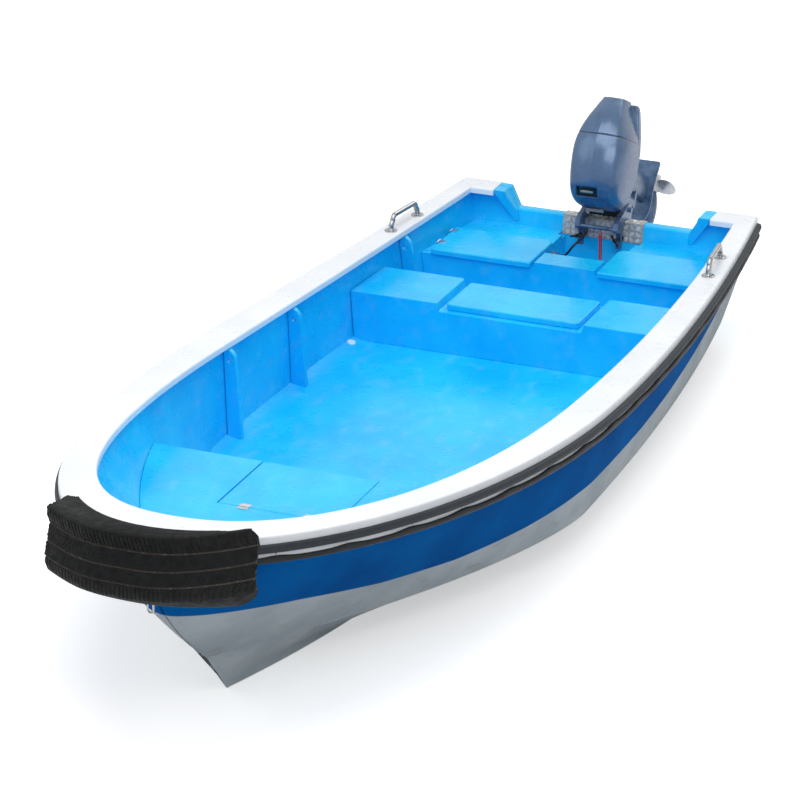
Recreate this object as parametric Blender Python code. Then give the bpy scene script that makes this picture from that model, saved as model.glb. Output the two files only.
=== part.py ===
"""An open fibreglass panga, about five metres long, with a clamp-on outboard motor tilted up.

Sizes are in metres. The bow points along -Y, port is +X, and z is 0 under the flat keel pad,
on which the boat stands. Long lines run from the stern to the bow. Rings cross them: aft of the
widest place a ring has one y, and forward of it the rings fan out around the bow.
"""
import math

import bmesh
import bpy
from mathutils import Vector

# Clearances
GAP = 0.0003            # between pieces that touch
SIDE_GAP = 0.0022       # between a moulding's ends and the liner's walls

# Hull
Y_STERN = 2.45          # outer face of the transom, at the height of the coaming
Y_WIDE = -0.25          # widest place
TRANSOM_T = 0.055
TRANSOM_RAKE = math.radians(10)
LEAN_FROM = 2.05        # aft of here the mouldings lean with the transom
STEM_HALF = 0.012
STEM_BULGE = 0.085      # how far the stem curves ahead of a straight line
SIDE_BULGE = 0.012
CHINE_FLAT = 0.022
PAD_STEP = 0.040        # depth of the keel pad
PAD_DRAFT = 0.014
PAD_TOP_AHEAD = 0.035   # the pad's upper edge meets the stem this far ahead of its lower edge

# Cockpit
FLOOR_Z = 0.226
LINER_T = 0.006
OVERHANG = 0.035        # coaming past the liner's wall
WALL_BULGE = 0.030      # the liner's wall swells this much at mid height, at the bow

# Coaming
COAMING_T = 0.030
FLANGE_T = 0.010
FLANGE_H = 0.098
COAMING_EDGE_R = 0.010
WING_PAST_CUT = 0.060   # the coaming's returns across the stern end this far from the cut-out
WING_DEPTH = 0.125

# The sheer's outer edge: half breadth at the widest place and at the stern, and y at the stem
HALF_WIDE = 0.976
HALF_STERN = 0.760
Y_STEM = -2.680
# How far inboard of it, and aft of it at the stem, the other long lines run
COCKPIT_IN = (0.160, 0.094, 0.310)
CHINE_IN = (0.096, 0.105, 0.570)
FLOOR_IN = (0.136, 0.148, 0.780)
PAD_HALF = (0.300, 0.320)
PAD_AFT = 0.750


def long_line(inboard, aft_power, ahead, round_power):
    """A line inboard of the sheer, with the power of its run aft and the two powers at the bow."""
    wide, stern, aft = inboard
    return (HALF_WIDE - wide, HALF_STERN - stern, aft_power, Y_STEM + aft, ahead, round_power)


LINES = {
    "rail": long_line((0.0, 0.0, 0.0), 1.75, 1.9, 2.0),
    "cockpit": long_line(COCKPIT_IN, 1.90, 2.1, 2.3),
    "chine": long_line(CHINE_IN, 2.20, 1.5, 1.0),
    "pad": (*PAD_HALF, 1.00, Y_STEM + PAD_AFT, 2.0, 1.0),
    "floor": long_line(FLOOR_IN, 2.20, 1.5, 1.0),
}

# Heights of the sheer and the chine at the stern, amidships and at the bow
SHEER = (0.600, 0.675, 0.990)
CHINE = (0.200, 0.196, 0.225)

AFT_RINGS = (2.31, 2.22, 2.13, 2.05, 1.87, 1.70, 1.35, 1.00, 0.60, 0.20)
BOW_RINGS = 22

# Transom cut-out
CUT_Z = 0.502
CUT_HALF_LOW = 0.446
CUT_HALF_TOP = 0.500
WING_END = CUT_HALF_TOP + WING_PAST_CUT

# Rubbing rails, measured down from the sheer
RAIL_TOP = 0.033
RAIL_H = 0.036
RAIL_T = 0.022
LOWER_RAIL_TOP = 0.088
LOWER_RAIL_H = 0.024
LOWER_RAIL_T = 0.014

# Thwart, bench and lockers
THWART_Y = (1.119, 1.467)
SEAT_Z = 0.470
SEAT_INNER = 0.363
THWART_BASE_Z = 0.430
MID_LID_HALF = 0.325
MID_LID_Y = (1.148, 1.453)
LID_T = 0.030
BOX_WALL = 0.012
LID_LEDGE = 0.030       # a lid laps its opening by this much

BENCH_FRONT = 1.830
BENCH_PAD_DEEP = 0.143
BENCH_PAD_BACK = BENCH_FRONT + BENCH_PAD_DEEP
BENCH_BASE_Z = 0.422
BENCH_PAD_HALF = 0.152
WELL_HALF = 0.190
AFT_LID_INNER = 0.169
AFT_LID_WALL = 0.0210   # from the lid's hinged edge to the liner's wall, at the lid's aft corner
AFT_LID_Y = (1.815, 2.145)
LID_CORNER_R = 0.040

LOCKER_Y = -1.000
LOCKER_Z = 0.555
LOCKER_T = 0.030
HATCH_HALF = 0.260
HATCH_FRONT = -1.440
HATCH_T = 0.018
HATCH_GAP = 0.005

# Ribs on the cockpit's sides
RIB_Y = (-0.140, 0.510, 1.650)
RIB_T = 0.026
RIB_FOOT = 0.075
RIB_HEAD = 0.052
RIB_HOLE_R = 0.012
RIB_HOLE_DROP = 0.055

# Stainless fittings
HANDLE_Y = (1.600, 1.858)
HANDLE_INSET = 0.068    # inboard of the coaming's outer edge
HANDLE_R = 0.0105
HANDLE_H = 0.068
ROSETTE_R = 0.031
ROSETTE_T = 0.004
HINGE_LEN = 0.045
HINGE_R = 0.0035
HINGE_T = 0.0025
HINGE_OFF = 0.0012      # from a lid's edge to the barrel
HATCH_HINGE_X = 0.142
AFT_HINGE_Y = (1.925, 2.090)
PLATE_HALF = 0.208
PLATE_T = 0.003
PLATE_DROP = 0.092
EYE_ROD_R = 0.0055
EYE_Z = 0.690

# Tyre fender
TYRE_TURNS = (-0.400, 0.470)    # ends, as turns from the stem to starboard and to port
TYRE_T = 0.013

# Outboard motor: its own frame has a aft and u up, from the tilt axis, when it is upright
TILT_Y = 2.440
TILT_Z = 0.548
TILT_REST = math.radians(62)
TILT_TUBE_R = 0.0125
TILT_TUBE_HALF = 0.122
ARM_X = (0.086, 0.110)
SWIVEL_A = 0.075
SWIVEL_R = 0.032
SWIVEL_U = (-0.300, 0.022)
STEER_SHAFT_R = 0.014
PAN_U = (0.060, 0.125)
PLATE_U = -0.480
PLATE_A = (0.000, 0.318)
PLATE_HALF_W = 0.070
PROP_U = -0.630
PROP_A = 0.215
PROP_R = 0.120
PROP_PITCH = 0.30
COWL_LOW = 0.1255
COWL_T = 0.004
COWL_PLAN = (   # place along the cowl, half width at its foot, height of the top
    (-0.034, 0.080, 0.235), (-0.018, 0.112, 0.278), (0.020, 0.134, 0.320), (0.080, 0.144, 0.348),
    (0.170, 0.150, 0.364), (0.250, 0.150, 0.362), (0.320, 0.137, 0.346), (0.388, 0.112, 0.316),
    (0.452, 0.085, 0.270), (0.506, 0.064, 0.222),
)
PAN_PLAN = (    # place along the lower cowl, and its half width
    (-0.034, 0.066), (-0.018, 0.094), (0.020, 0.120), (0.080, 0.136), (0.170, 0.144), (0.269, 0.143),
    (0.340, 0.134), (0.404, 0.122), (0.470, 0.107), (0.495, 0.098),
)

# Small fittings and cords
DRAIN_INSET = 0.0236    # from the liner's wall
DRAIN_AHEAD = 0.060
SWITCH_X = -0.022       # on the front of the motor's lower cowl
SWITCH_U = 0.108
BAR_AHEAD = 0.095       # the clamp's front cross bar, ahead of the transom's inner face
BAR_R = 0.010
SCREW_DROP = 0.074      # the clamp screws' pads, below the cut-out's edge
SCREW_LEN = 0.105
GRIP_HALF = 0.032
CONNECTOR_X = -0.052
CONNECTOR_R = 0.008
CONNECTOR_LEN = 0.018
FITTING_Y = 2.185
FITTING_Z = 0.366
HOSE_R = 0.0055
LANYARD_X = 0.020
LANYARD_R = 0.007
LANYARD_LEN = 0.180


def smooth(mesh, angle=35):
    """Shade a mesh smooth between sharp edges."""
    mesh.shade_smooth()
    mesh.set_sharp_from_angle(angle=math.radians(angle))


def material(name, colour, roughness=0.5, metallic=0.0):
    """A Principled material, one for each node."""
    made = bpy.data.materials.new(name)
    made.use_nodes = True
    shader = made.node_tree.nodes["Principled BSDF"]
    shader.inputs["Base Color"].default_value = (*colour, 1.0)
    shader.inputs["Roughness"].default_value = roughness
    shader.inputs["Metallic"].default_value = metallic
    made.diffuse_color = (*colour, 1.0)
    return made


AZURE = ((0.010, 0.330, 0.860), 0.35, 0.0)
WHITE = ((0.880, 0.910, 0.950), 0.35, 0.0)
HULL_PAINT = ((0.010, 0.150, 0.420), 0.30, 0.0)
RUBBER = ((0.040, 0.050, 0.060), 0.70, 0.0)
TYRE_RUBBER = ((0.012, 0.014, 0.016), 0.80, 0.0)
STAINLESS = ((0.620, 0.620, 0.600), 0.25, 1.0)
CHEQUER = ((0.600, 0.610, 0.620), 0.40, 1.0)
SLATE = ((0.080, 0.130, 0.210), 0.30, 0.2)
BLACK = ((0.015, 0.015, 0.017), 0.50, 0.0)
PROP_METAL = ((0.550, 0.560, 0.570), 0.35, 1.0)
GREY_PLASTIC = ((0.260, 0.270, 0.280), 0.50, 0.0)
RED_CORD = ((0.600, 0.010, 0.020), 0.45, 0.0)


def add(name, verts, faces, look, parent=None):
    """One node from vertices and faces, closed, with its faces turned outwards."""
    mesh = bpy.data.meshes.new(name)
    mesh.from_pydata([tuple(v) for v in verts], [], faces)
    work = bmesh.new()
    work.from_mesh(mesh)
    bmesh.ops.remove_doubles(work, verts=work.verts, dist=0.00002)
    bmesh.ops.dissolve_degenerate(work, edges=work.edges, dist=0.00001)
    bmesh.ops.recalc_face_normals(work, faces=work.faces)
    work.to_mesh(mesh)
    work.free()
    smooth(mesh)
    made = bpy.data.objects.new(name, mesh)
    if look is not None:
        mesh.materials.append(material(name, *look))
    made.parent = parent
    bpy.context.collection.objects.link(made)
    return made


def cutter(name, verts, faces, parent=None):
    """A closed shape that only cuts others."""
    made = add(name, verts, faces, None, parent)
    made.hide_render = True
    made.display_type = "WIRE"
    return made


def boolean(target, tool, operation="DIFFERENCE"):
    """Cut a tool from a node, or join it on."""
    step = target.modifiers.new(tool.name, "BOOLEAN")
    step.operation = operation
    step.solver = "EXACT"
    step.object = tool


def bevel(target, width, segments=2, angle=40):
    """Round the sharp edges of a node."""
    step = target.modifiers.new("rounding", "BEVEL")
    step.width = width
    step.segments = segments
    step.limit_method = "ANGLE"
    step.angle_limit = math.radians(angle)
    step.use_clamp_overlap = True


def skin(rings, caps=(True, True), split=False):
    """Vertices and faces of closed rings joined in order, with flat ends.

    With split, each four-sided face is cut from the low corner of its first ring, so that two
    mouldings on the same rings follow each other.
    """
    count = len(rings[0])
    verts = [point for ring in rings for point in ring]
    faces = []
    for row in range(len(rings) - 1):
        for col in range(count):
            after = (col + 1) % count
            a, b = row * count + col, row * count + after
            c, d = (row + 1) * count + after, (row + 1) * count + col
            if not split:
                faces.append((a, b, c, d))
            elif verts[a][2] <= verts[b][2]:
                faces += [(a, b, c), (a, c, d)]
            else:
                faces += [(a, b, d), (b, c, d)]
    if caps[0]:
        faces.append(tuple(range(count - 1, -1, -1)))
    if caps[1]:
        last = (len(rings) - 1) * count
        faces.append(tuple(range(last, last + count)))
    return verts, faces


def block(x, y, z):
    """A box between two corners."""
    low = [(x[i], y[j], z[0]) for i, j in ((0, 0), (1, 0), (1, 1), (0, 1))]
    high = [(px, py, z[1]) for px, py, _ in low]
    return skin([low, high])


def prism(outline, z):
    """An outline of x, y carried from one height to another."""
    return skin([[(x, y, height) for x, y in outline] for height in z])


def side_prism(outline, x):
    """An outline of y, z carried across from one x to another."""
    return skin([[(across, y, z) for y, z in outline] for across in x])


def disc(centre, radius, axis, length, sides=24):
    """A round bar or disc from its centre along an axis."""
    axis = Vector(axis).normalized()
    across = axis.orthogonal().normalized()
    other = axis.cross(across)
    rings = []
    for reach in (0.0, length):
        middle = Vector(centre) + axis * reach
        rings.append([middle + across * radius * math.cos(turn) + other * radius * math.sin(turn)
                      for turn in (2 * math.pi * k / sides for k in range(sides))])
    return skin(rings)


def tube(points, radius, sides=12):
    """A round bar along points, its sections carried without twist."""
    points = [Vector(p) for p in points]
    along = (points[1] - points[0]).normalized()
    across = along.orthogonal().normalized()
    rings = []
    for index, point in enumerate(points):
        before = points[max(index - 1, 0)]
        after = points[min(index + 1, len(points) - 1)]
        along = (after - before).normalized()
        across = (across - along * across.dot(along)).normalized()
        other = along.cross(across)
        rings.append([point + across * radius * math.cos(turn) + other * radius * math.sin(turn)
                      for turn in (2 * math.pi * k / sides for k in range(sides))])
    return skin(rings)


def rounded(x, y, radii, steps=5):
    """A rectangle's outline with its four corners rounded, from the low corner, counter-clockwise."""
    corners = ((x[0], y[0], 180), (x[1], y[0], 270), (x[1], y[1], 0), (x[0], y[1], 90))
    outline = []
    for (cx, cy, start), radius in zip(corners, radii):
        if radius == 0:
            outline.append((cx, cy))
            continue
        mx = cx + radius if cx == x[0] else cx - radius
        my = cy + radius if cy == y[0] else cy - radius
        for k in range(steps + 1):
            turn = math.radians(start + 90 * k / steps)
            outline.append((mx + radius * math.cos(turn), my + radius * math.sin(turn)))
    return outline


def smooth_path(points, step):
    """Points about one step apart on a Catmull-Rom curve through the given points."""
    points = [Vector(p) for p in points]
    ends = [points[0] * 2 - points[1]] + points + [points[-1] * 2 - points[-2]]
    path = []
    for k in range(1, len(ends) - 2):
        p0, p1, p2, p3 = ends[k - 1:k + 3]
        count = max(1, round((p2 - p1).length / step))
        for j in range(count):
            t = j / count
            path.append(0.5 * (2 * p1 + (p2 - p0) * t + (2 * p0 - 5 * p1 + 4 * p2 - p3) * t ** 2
                               + (3 * p1 - p0 - 3 * p2 + p3) * t ** 3))
    path.append(points[-1])
    return path


def cord(name, points, radius, look, step):
    """A plain cord: a curve with a round bevel and closed ends."""
    curve = bpy.data.curves.new(name, "CURVE")
    curve.dimensions = "3D"
    curve.bevel_depth = radius
    curve.bevel_resolution = 2
    curve.use_fill_caps = True
    path = smooth_path(points, step)
    spline = curve.splines.new("POLY")
    spline.points.add(len(path) - 1)
    for slot, point in zip(spline.points, path):
        slot.co = (*point, 1.0)
    curve.materials.append(material(name, *look))
    made = bpy.data.objects.new(name, curve)
    bpy.context.collection.objects.link(made)
    return made


def through_three(values, y):
    """A parabola through a height at the stern, amidships and at the bow."""
    stern, middle, bow = values
    y_bow = LINES["rail"][3]
    first = (stern - middle) / Y_STERN
    second = (bow - middle) / y_bow
    curve = (first - second) / (Y_STERN - y_bow)
    slope = first - curve * Y_STERN
    return middle + slope * y + curve * y * y


def lean(y, z):
    """Move a point near the stern forward, so that the transom leans."""
    share = min(max((y - LEAN_FROM) / (Y_STERN - TRANSOM_T - LEAN_FROM), 0.0), 1.0)
    return y - (SHEER[0] - z) * math.tan(TRANSOM_RAKE) * share


def leaned(mesh_parts):
    """Lean all the vertices of a piece at the stern."""
    verts, faces = mesh_parts
    return [(x, lean(y, z), z) for x, y, z in verts], faces


def plan(line, ring):
    """Half breadth and y of a long line at a ring. A ring is ("y", y) or ("turn", angle)."""
    wide, stern, aft_power, y_bow, ahead, round_power = LINES[line]
    kind, value = ring
    if kind == "y":
        run = max((value - Y_WIDE) / (Y_STERN - Y_WIDE), 0.0)
        return wide - (wide - stern) * run ** aft_power, value
    y = Y_WIDE - (Y_WIDE - y_bow) * math.sin(value) ** (2 / ahead)
    return wide * max(math.cos(value), 0.0) ** (2 / round_power), y


def rings_from(y_end):
    """All rings from one near the stern to the bow."""
    aft = [("y", y_end)] + [("y", y) for y in AFT_RINGS if y < y_end - 0.02] + [("y", Y_WIDE)]
    step = math.pi / 2 / BOW_RINGS
    turns = [("turn", step * k) for k in range(1, BOW_RINGS)] + [("turn", math.pi / 2)]
    return aft + turns


def sheer_point(ring, inboard, down=0.0):
    """A point on the coaming's top, a distance inboard of its outer edge and below its top."""
    xe, ye = plan("rail", ring)
    xc, yc = plan("cockpit", ring)
    outer = Vector((xe, ye, through_three(SHEER, ye)))
    inner = Vector((xc, yc, through_three(SHEER, yc)))
    flat = math.hypot(xe - xc, ye - yc)
    return outer + (inner - outer) * (inboard / flat) - Vector((0, 0, down))


def coaming_width(ring):
    """Breadth of the coaming's top at a ring."""
    xe, ye = plan("rail", ring)
    xc, yc = plan("cockpit", ring)
    return math.hypot(xe - xc, ye - yc)


def outward(ring):
    """Unit vector in plan from the cockpit's edge to the rail."""
    xe, ye = plan("rail", ring)
    xc, yc = plan("cockpit", ring)
    return Vector((xe - xc, ye - yc, 0)).normalized()


def bow_share(ring):
    """0 aft of the widest place, and 1 at the stem."""
    return math.sin(ring[1]) if ring[0] == "turn" else 0.0


def wall_points(ring, grow=0.0, drop=0.0):
    """The liner's wall at a ring: floor edge, swell at mid height, and top."""
    out = outward(ring) * grow
    x, y = plan("floor", ring)
    foot = Vector((x, y, FLOOR_Z - drop)) + out
    width = coaming_width(ring)
    head = sheer_point(ring, width - OVERHANG - grow, COAMING_T + GAP)
    middle = (foot + head) / 2 + outward(ring) * WALL_BULGE * bow_share(ring)
    return foot, middle, head


def wall_half(y, z):
    """Half breadth between the liner's walls at a y aft of the widest place."""
    stations = [Y_STERN - TRANSOM_T - GAP] + [s for s in AFT_RINGS] + [Y_WIDE]
    for aft, ahead in zip(stations, stations[1:]):
        if ahead <= y <= aft:
            share = (y - ahead) / (aft - ahead)
            return share * ring_half(aft, z) + (1 - share) * ring_half(ahead, z)
    return ring_half(min(max(y, Y_WIDE), stations[0]), z)


def ring_half(y, z):
    """Half breadth between the walls at one ring."""
    foot, _, head = wall_points(("y", y))
    return foot.x + (head.x - foot.x) * (z - foot.z) / (head.z - foot.z)


def hull_side(ring):
    """The hull's outside at a ring, port side, from the top down to the pad."""
    top = sheer_point(ring, FLANGE_T + GAP + 0.004 * bow_share(ring) ** 8, COAMING_T + GAP)
    top.x = max(top.x, STEM_HALF)
    cx, cy = plan("chine", ring)
    chine = Vector((max(cx, STEM_HALF), cy, through_three(CHINE, cy)))
    points = [top]
    share = bow_share(ring)
    for level in (0.75, 0.5, 0.25):
        swell = 4 * level * (1 - level)
        point = chine + (top - chine) * level
        point.y -= STEM_BULGE * swell * share ** 3
        point.x += SIDE_BULGE * swell * (1 - share)
        point.x = max(point.x, STEM_HALF)
        points.append(point)
    inner = chine - Vector((CHINE_FLAT * (1 - share), 0, 0.003 * (1 - share)))
    inner.x = max(inner.x, STEM_HALF)
    px, py = plan("pad", ring)
    pad_top = Vector((max(px + PAD_DRAFT * (1 - share), STEM_HALF), py - PAD_TOP_AHEAD * share, PAD_STEP))
    pad = Vector((max(px, STEM_HALF), py, 0.0))
    return points + [chine, inner, pad_top, pad]


def mirrored(points):
    """The same points on the starboard side."""
    return [Vector((-p.x, p.y, p.z)) for p in points]


def build_hull():
    """Outer moulding with its foam core, as thick as the whole side, open at the top for the liner."""
    y_end = Y_STERN - TRANSOM_T - GAP
    loops = []
    for ring in rings_from(y_end):
        outer = hull_side(ring)
        inner = wall_points(ring, LINER_T + GAP, LINER_T + GAP)
        if ring == ("turn", math.pi / 2):
            inner = [Vector((0, p.y, p.z)) for p in inner]
        port = list(reversed(outer))
        loops.append(mirrored(outer) + port + list(reversed(inner)) + mirrored(inner))
    verts, faces = skin(loops, (True, False), True)
    count = len(loops[0])
    half = len(hull_side(("y", Y_WIDE)))
    last = (len(loops) - 1) * count
    for k in range(half - 1):
        faces.append((last + k, last + k + 1, last + 2 * half - 2 - k, last + 2 * half - 1 - k))
    faces.append((last, last + 2 * half - 1, last + 2 * half))
    return add("hull", *leaned((verts, faces)), HULL_PAINT)


def build_liner():
    """The cockpit's inner moulding: floor and sides in one thin tub, open at the stern."""
    loops = []
    for ring in rings_from(Y_STERN - TRANSOM_T - GAP):
        inner = list(reversed(wall_points(ring)))
        outer = list(reversed(wall_points(ring, LINER_T, LINER_T)))
        if ring == ("turn", math.pi / 2):
            inner = [Vector((0, p.y, p.z)) for p in inner]
            outer = [Vector((0, p.y, p.z)) for p in outer]
        loops.append(inner + mirrored(inner[::-1]) + mirrored(outer) + outer[::-1])
    verts, faces = skin(loops, (True, False), True)
    return add("cockpit_liner", *leaned((verts, faces)), AZURE)


def build_transom():
    """Thick board between the hull's sides, with the motor's cut-out in its top."""
    under_wing = SHEER[0] - COAMING_T - 4 * GAP
    rings = []
    for y in (Y_STERN - TRANSOM_T, Y_STERN):
        side = [(p.x, p.z) for p in hull_side(("y", y))]
        right = [(CUT_HALF_LOW, CUT_Z), (CUT_HALF_TOP, SHEER[0] - GAP), (WING_END - GAP, SHEER[0] - GAP),
                 (WING_END - GAP, under_wing), (side[0][0], under_wing)] + side[1:]
        outline = right + [(-x, z) for x, z in reversed(right)]
        rings.append([(x, y, z) for x, z in outline])
    return add("transom", *leaned(skin(rings)), AZURE)


def cap_table(width, mitre=1.0):
    """The coaming's section: a top plate with an outer flange turned down, as (inboard, down)."""
    edge = COAMING_EDGE_R
    return (
        (0.0, FLANGE_H), (0.0, edge), (edge * 0.3, edge * 0.3), (edge, 0.0),
        (width - edge, 0.0), (width - edge * 0.3, edge * 0.3), (width, edge), (width, COAMING_T),
        (FLANGE_T * mitre, COAMING_T), (FLANGE_T * mitre, FLANGE_H),
    )


def wing_section(x_outer, y_outer, x_inner, y_inner, mitre):
    """The coaming's section where it turns across the stern."""
    outer = Vector((x_outer, y_outer, SHEER[0]))
    inner = Vector((x_inner, y_inner, SHEER[0]))
    along = (inner - outer).normalized()
    table = cap_table((inner - outer).length, mitre)
    return [outer + along * inboard - Vector((0, 0, down)) for inboard, down in table]


def build_coaming():
    """White cap along both sides and round the bow, returned across the stern as two wings."""
    y_outer = Y_STERN + FLANGE_T + GAP
    y_inner = Y_STERN - WING_DEPTH
    stern_x = plan("rail", ("y", y_outer))[0]
    inner_x = plan("cockpit", ("y", y_inner))[0]
    corner_mitre = math.hypot(stern_x - inner_x, y_outer - y_inner) / (y_outer - y_inner)
    wing = [wing_section(WING_END, y_outer, WING_END, y_inner, 1.0),
            wing_section(stern_x, y_outer, inner_x, y_inner, corner_mitre)]
    port = list(wing)
    for ring in rings_from(y_inner)[1:]:
        port.append([sheer_point(ring, inboard, down) for inboard, down in cap_table(coaming_width(ring))])
    starboard = [mirrored(section) for section in reversed(port[:-1])]
    verts, faces = skin(port + starboard)
    return add("gunwale_coaming", verts, faces, WHITE)


def rail_loops(table):
    """Sections of a rail along the coaming's outer edge, from port stern to starboard stern."""
    rings = rings_from(Y_STERN)
    port = [[sheer_point(ring, inboard, down) for inboard, down in table] for ring in rings]
    starboard = [mirrored(section) for section in reversed(port[:-1])]
    return port + starboard


def build_rails():
    """Rubber rail on the coaming's flange, and a thin black rail along the flange's lower edge."""
    top, height, thick = RAIL_TOP, RAIL_H, RAIL_T
    table = ((-GAP, top), (-thick * 0.7, top + height * 0.08), (-thick, top + height * 0.35),
             (-thick, top + height * 0.65), (-thick * 0.7, top + height * 0.92), (-GAP, top + height))
    add("rubbing_rail", *skin(rail_loops(table)), RUBBER)
    top, height, thick = LOWER_RAIL_TOP, LOWER_RAIL_H, LOWER_RAIL_T
    lip = FLANGE_H + GAP
    table = ((-GAP, top), (-thick * 0.7, top + height * 0.1), (-thick, top + height * 0.5),
             (-thick * 0.7, top + height * 0.9), (FLANGE_T, top + height), (FLANGE_T, lip), (-GAP, lip))
    add("lower_rail", *skin(rail_loops(table)), BLACK)


def build_knees():
    """Azure knees that end the wings: they follow the cut-out's slope and run out to nothing."""
    face = Y_STERN - TRANSOM_T - GAP
    table = (   # height, inner x, outer x, depth
        (SHEER[0] - GAP, CUT_HALF_TOP + 0.002, WING_END - GAP, WING_DEPTH - TRANSOM_T),
        (SHEER[0] - 0.030, CUT_HALF_TOP - 0.010, WING_END - 0.010, 0.060),
        (CUT_Z, CUT_HALF_LOW + 0.002, CUT_HALF_LOW + 0.056, 0.032),
        (CUT_Z - 0.060, CUT_HALF_LOW - 0.008, CUT_HALF_LOW + 0.014, 0.006),
    )
    for name, side in (("knee_port", 1), ("knee_starboard", -1)):
        rings = [[(side * near, face, z), (side * far, face, z), (side * far, face - deep, z),
                  (side * near, face - deep, z)] for z, near, far, deep in table]
        made = add(name, *leaned(skin(rings)), AZURE)
        bevel(made, 0.006)


def build_ribs():
    """Three upright ribs on each side of the cockpit, rounded at the top, with a lashing hole."""
    for index, y in enumerate(RIB_Y):
        top = through_three(SHEER, y) - COAMING_T - GAP - 0.004
        foot = FLOOR_Z + GAP
        for name, side in (("port", 1), ("starboard", -1)):
            outline = [(wall_half(y, foot) - SIDE_GAP, foot), (wall_half(y, top) - SIDE_GAP, top)]
            turn_z = top - RIB_HEAD
            turn_x = wall_half(y, turn_z) - SIDE_GAP - 0.006
            for k in range(5):
                turn = math.radians(90 + 90 * k / 4)
                outline.append((turn_x + RIB_HEAD * math.cos(turn), turn_z + RIB_HEAD * math.sin(turn)))
            outline.append((wall_half(y, foot) - RIB_FOOT, foot))
            rings = [[(side * x, y + across, z) for x, z in outline] for across in (-RIB_T / 2, RIB_T / 2)]
            made = add(f"rib_{name}_{index + 1}", *skin(rings), AZURE)
            hole = (side * (wall_half(y, top) - RIB_HEAD * 0.62), y - RIB_T, top - RIB_HOLE_DROP)
            boolean(made, cutter(f"rib_hole_{name}_{index + 1}",
                                 *disc(hole, RIB_HOLE_R, (0, 1, 0), 2 * RIB_T, 16)))


def between_walls(ys, profile):
    """A moulding that spans the cockpit: profile rows are (x or None for the wall, z), port side first."""
    loops = []
    for y in ys:
        half = [(wall_half(y, z) - SIDE_GAP if x is None else x, z) for x, z in profile]
        port = [Vector((x, y, z)) for x, z in half]
        loops.append(port + mirrored(port[::-1]))
    return loops


def span(y_from, y_to):
    """Ring places between two ends, so that a moulding bends where the walls do."""
    inner = [y for y in AFT_RINGS if y_from + 0.01 < y < y_to - 0.01]
    return sorted([y_from, y_to] + inner, reverse=True)


def build_thwart():
    """Middle seat, a hollow box across the boat, with a raised lid in a recess between two seats."""
    foot = FLOOR_Z + GAP
    profile = ((None, foot), (None, SEAT_Z), (SEAT_INNER, SEAT_Z), (SEAT_INNER - 0.012, THWART_BASE_Z))
    made = add("mid_thwart", *skin(between_walls(span(*THWART_Y), profile), split=True), AZURE)
    inside = MID_LID_HALF - LID_LEDGE + 0.020
    hollow = block((-inside, inside), (THWART_Y[0] + BOX_WALL, THWART_Y[1] - BOX_WALL),
                   (foot - 0.02, THWART_BASE_Z - BOX_WALL))
    boolean(made, cutter("thwart_hollow", *hollow))
    mouth = MID_LID_HALF - LID_LEDGE
    opening = block((-mouth, mouth), (MID_LID_Y[0] + LID_LEDGE, MID_LID_Y[1] - LID_LEDGE),
                    (THWART_BASE_Z - 2 * BOX_WALL, THWART_BASE_Z + 0.02))
    boolean(made, cutter("thwart_mouth", *opening))
    bevel(made, 0.006)
    outline = rounded((-MID_LID_HALF, MID_LID_HALF), MID_LID_Y, (0.012,) * 4, 3)
    lid = add("mid_lid", *prism(outline, (THWART_BASE_Z + GAP, THWART_BASE_Z + GAP + LID_T)), AZURE)
    bevel(lid, 0.005)


def build_bench():
    """Aft bench: two lidded boxes that run back to the transom, and a short piece between them."""
    foot = FLOOR_Z + GAP
    back = Y_STERN - TRANSOM_T - GAP
    pad_z = BENCH_BASE_Z + LID_T
    profile = ((None, foot), (None, BENCH_BASE_Z), (BENCH_PAD_HALF + 0.008, BENCH_BASE_Z),
               (BENCH_PAD_HALF, pad_z))
    made = add("aft_bench", *leaned(skin(between_walls(span(BENCH_FRONT, back), profile), split=True)), AZURE)
    well = block((-WELL_HALF, WELL_HALF), (BENCH_PAD_BACK, back + 0.05), (foot - 0.02, pad_z + 0.02))
    boolean(made, cutter("motor_well", *well))
    relief = block((-PLATE_HALF - 0.003, PLATE_HALF + 0.003), (back - 0.085, back + 0.05),
                   (CUT_Z - PLATE_DROP - 0.006, pad_z + 0.02))
    boolean(made, cutter("plate_relief", *relief))
    lid_x = (AFT_LID_INNER, wall_half(AFT_LID_Y[1], BENCH_BASE_Z) - AFT_LID_WALL)
    mouth_x = (lid_x[0] + LID_LEDGE + 0.015, lid_x[1] - LID_LEDGE - 0.030)
    mouth_y = (BENCH_FRONT + LID_LEDGE, AFT_LID_Y[1] - LID_LEDGE)
    for name, side in (("port", 1), ("starboard", -1)):
        hollow = block(tuple(side * x for x in (WELL_HALF + BOX_WALL, mouth_x[1])),
                       (BENCH_FRONT + BOX_WALL, mouth_y[1] + 0.05), (foot - 0.02, BENCH_BASE_Z - BOX_WALL))
        boolean(made, cutter(f"bench_hollow_{name}", *hollow))
        mouth = block(tuple(side * x for x in mouth_x), mouth_y,
                      (BENCH_BASE_Z - 2 * BOX_WALL, BENCH_BASE_Z + 0.02))
        boolean(made, cutter(f"bench_mouth_{name}", *mouth))
    bevel(made, 0.006)
    low = BENCH_BASE_Z + GAP
    for name, side in (("port", 1), ("starboard", -1)):
        axis = (side * (lid_x[1] + HINGE_R + HINGE_OFF), 0.0, low + LID_T)
        hinge = empty(f"aft_lid_{name}_axis", axis)
        x = sorted(side * value - axis[0] for value in lid_x)
        radii = (0.012, 0.012, LID_CORNER_R if side < 0 else 0.012, LID_CORNER_R if side > 0 else 0.012)
        outline = rounded(x, AFT_LID_Y, radii)
        lid = add(f"aft_lid_{name}", *prism(outline, (-LID_T, 0.0)), AZURE, hinge)
        bevel(lid, 0.005)
        for index, y in enumerate(AFT_HINGE_Y):
            build_hinge(f"hinge_{name}_{index + 1}", (axis[0], y, low), side, LID_T)


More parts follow.
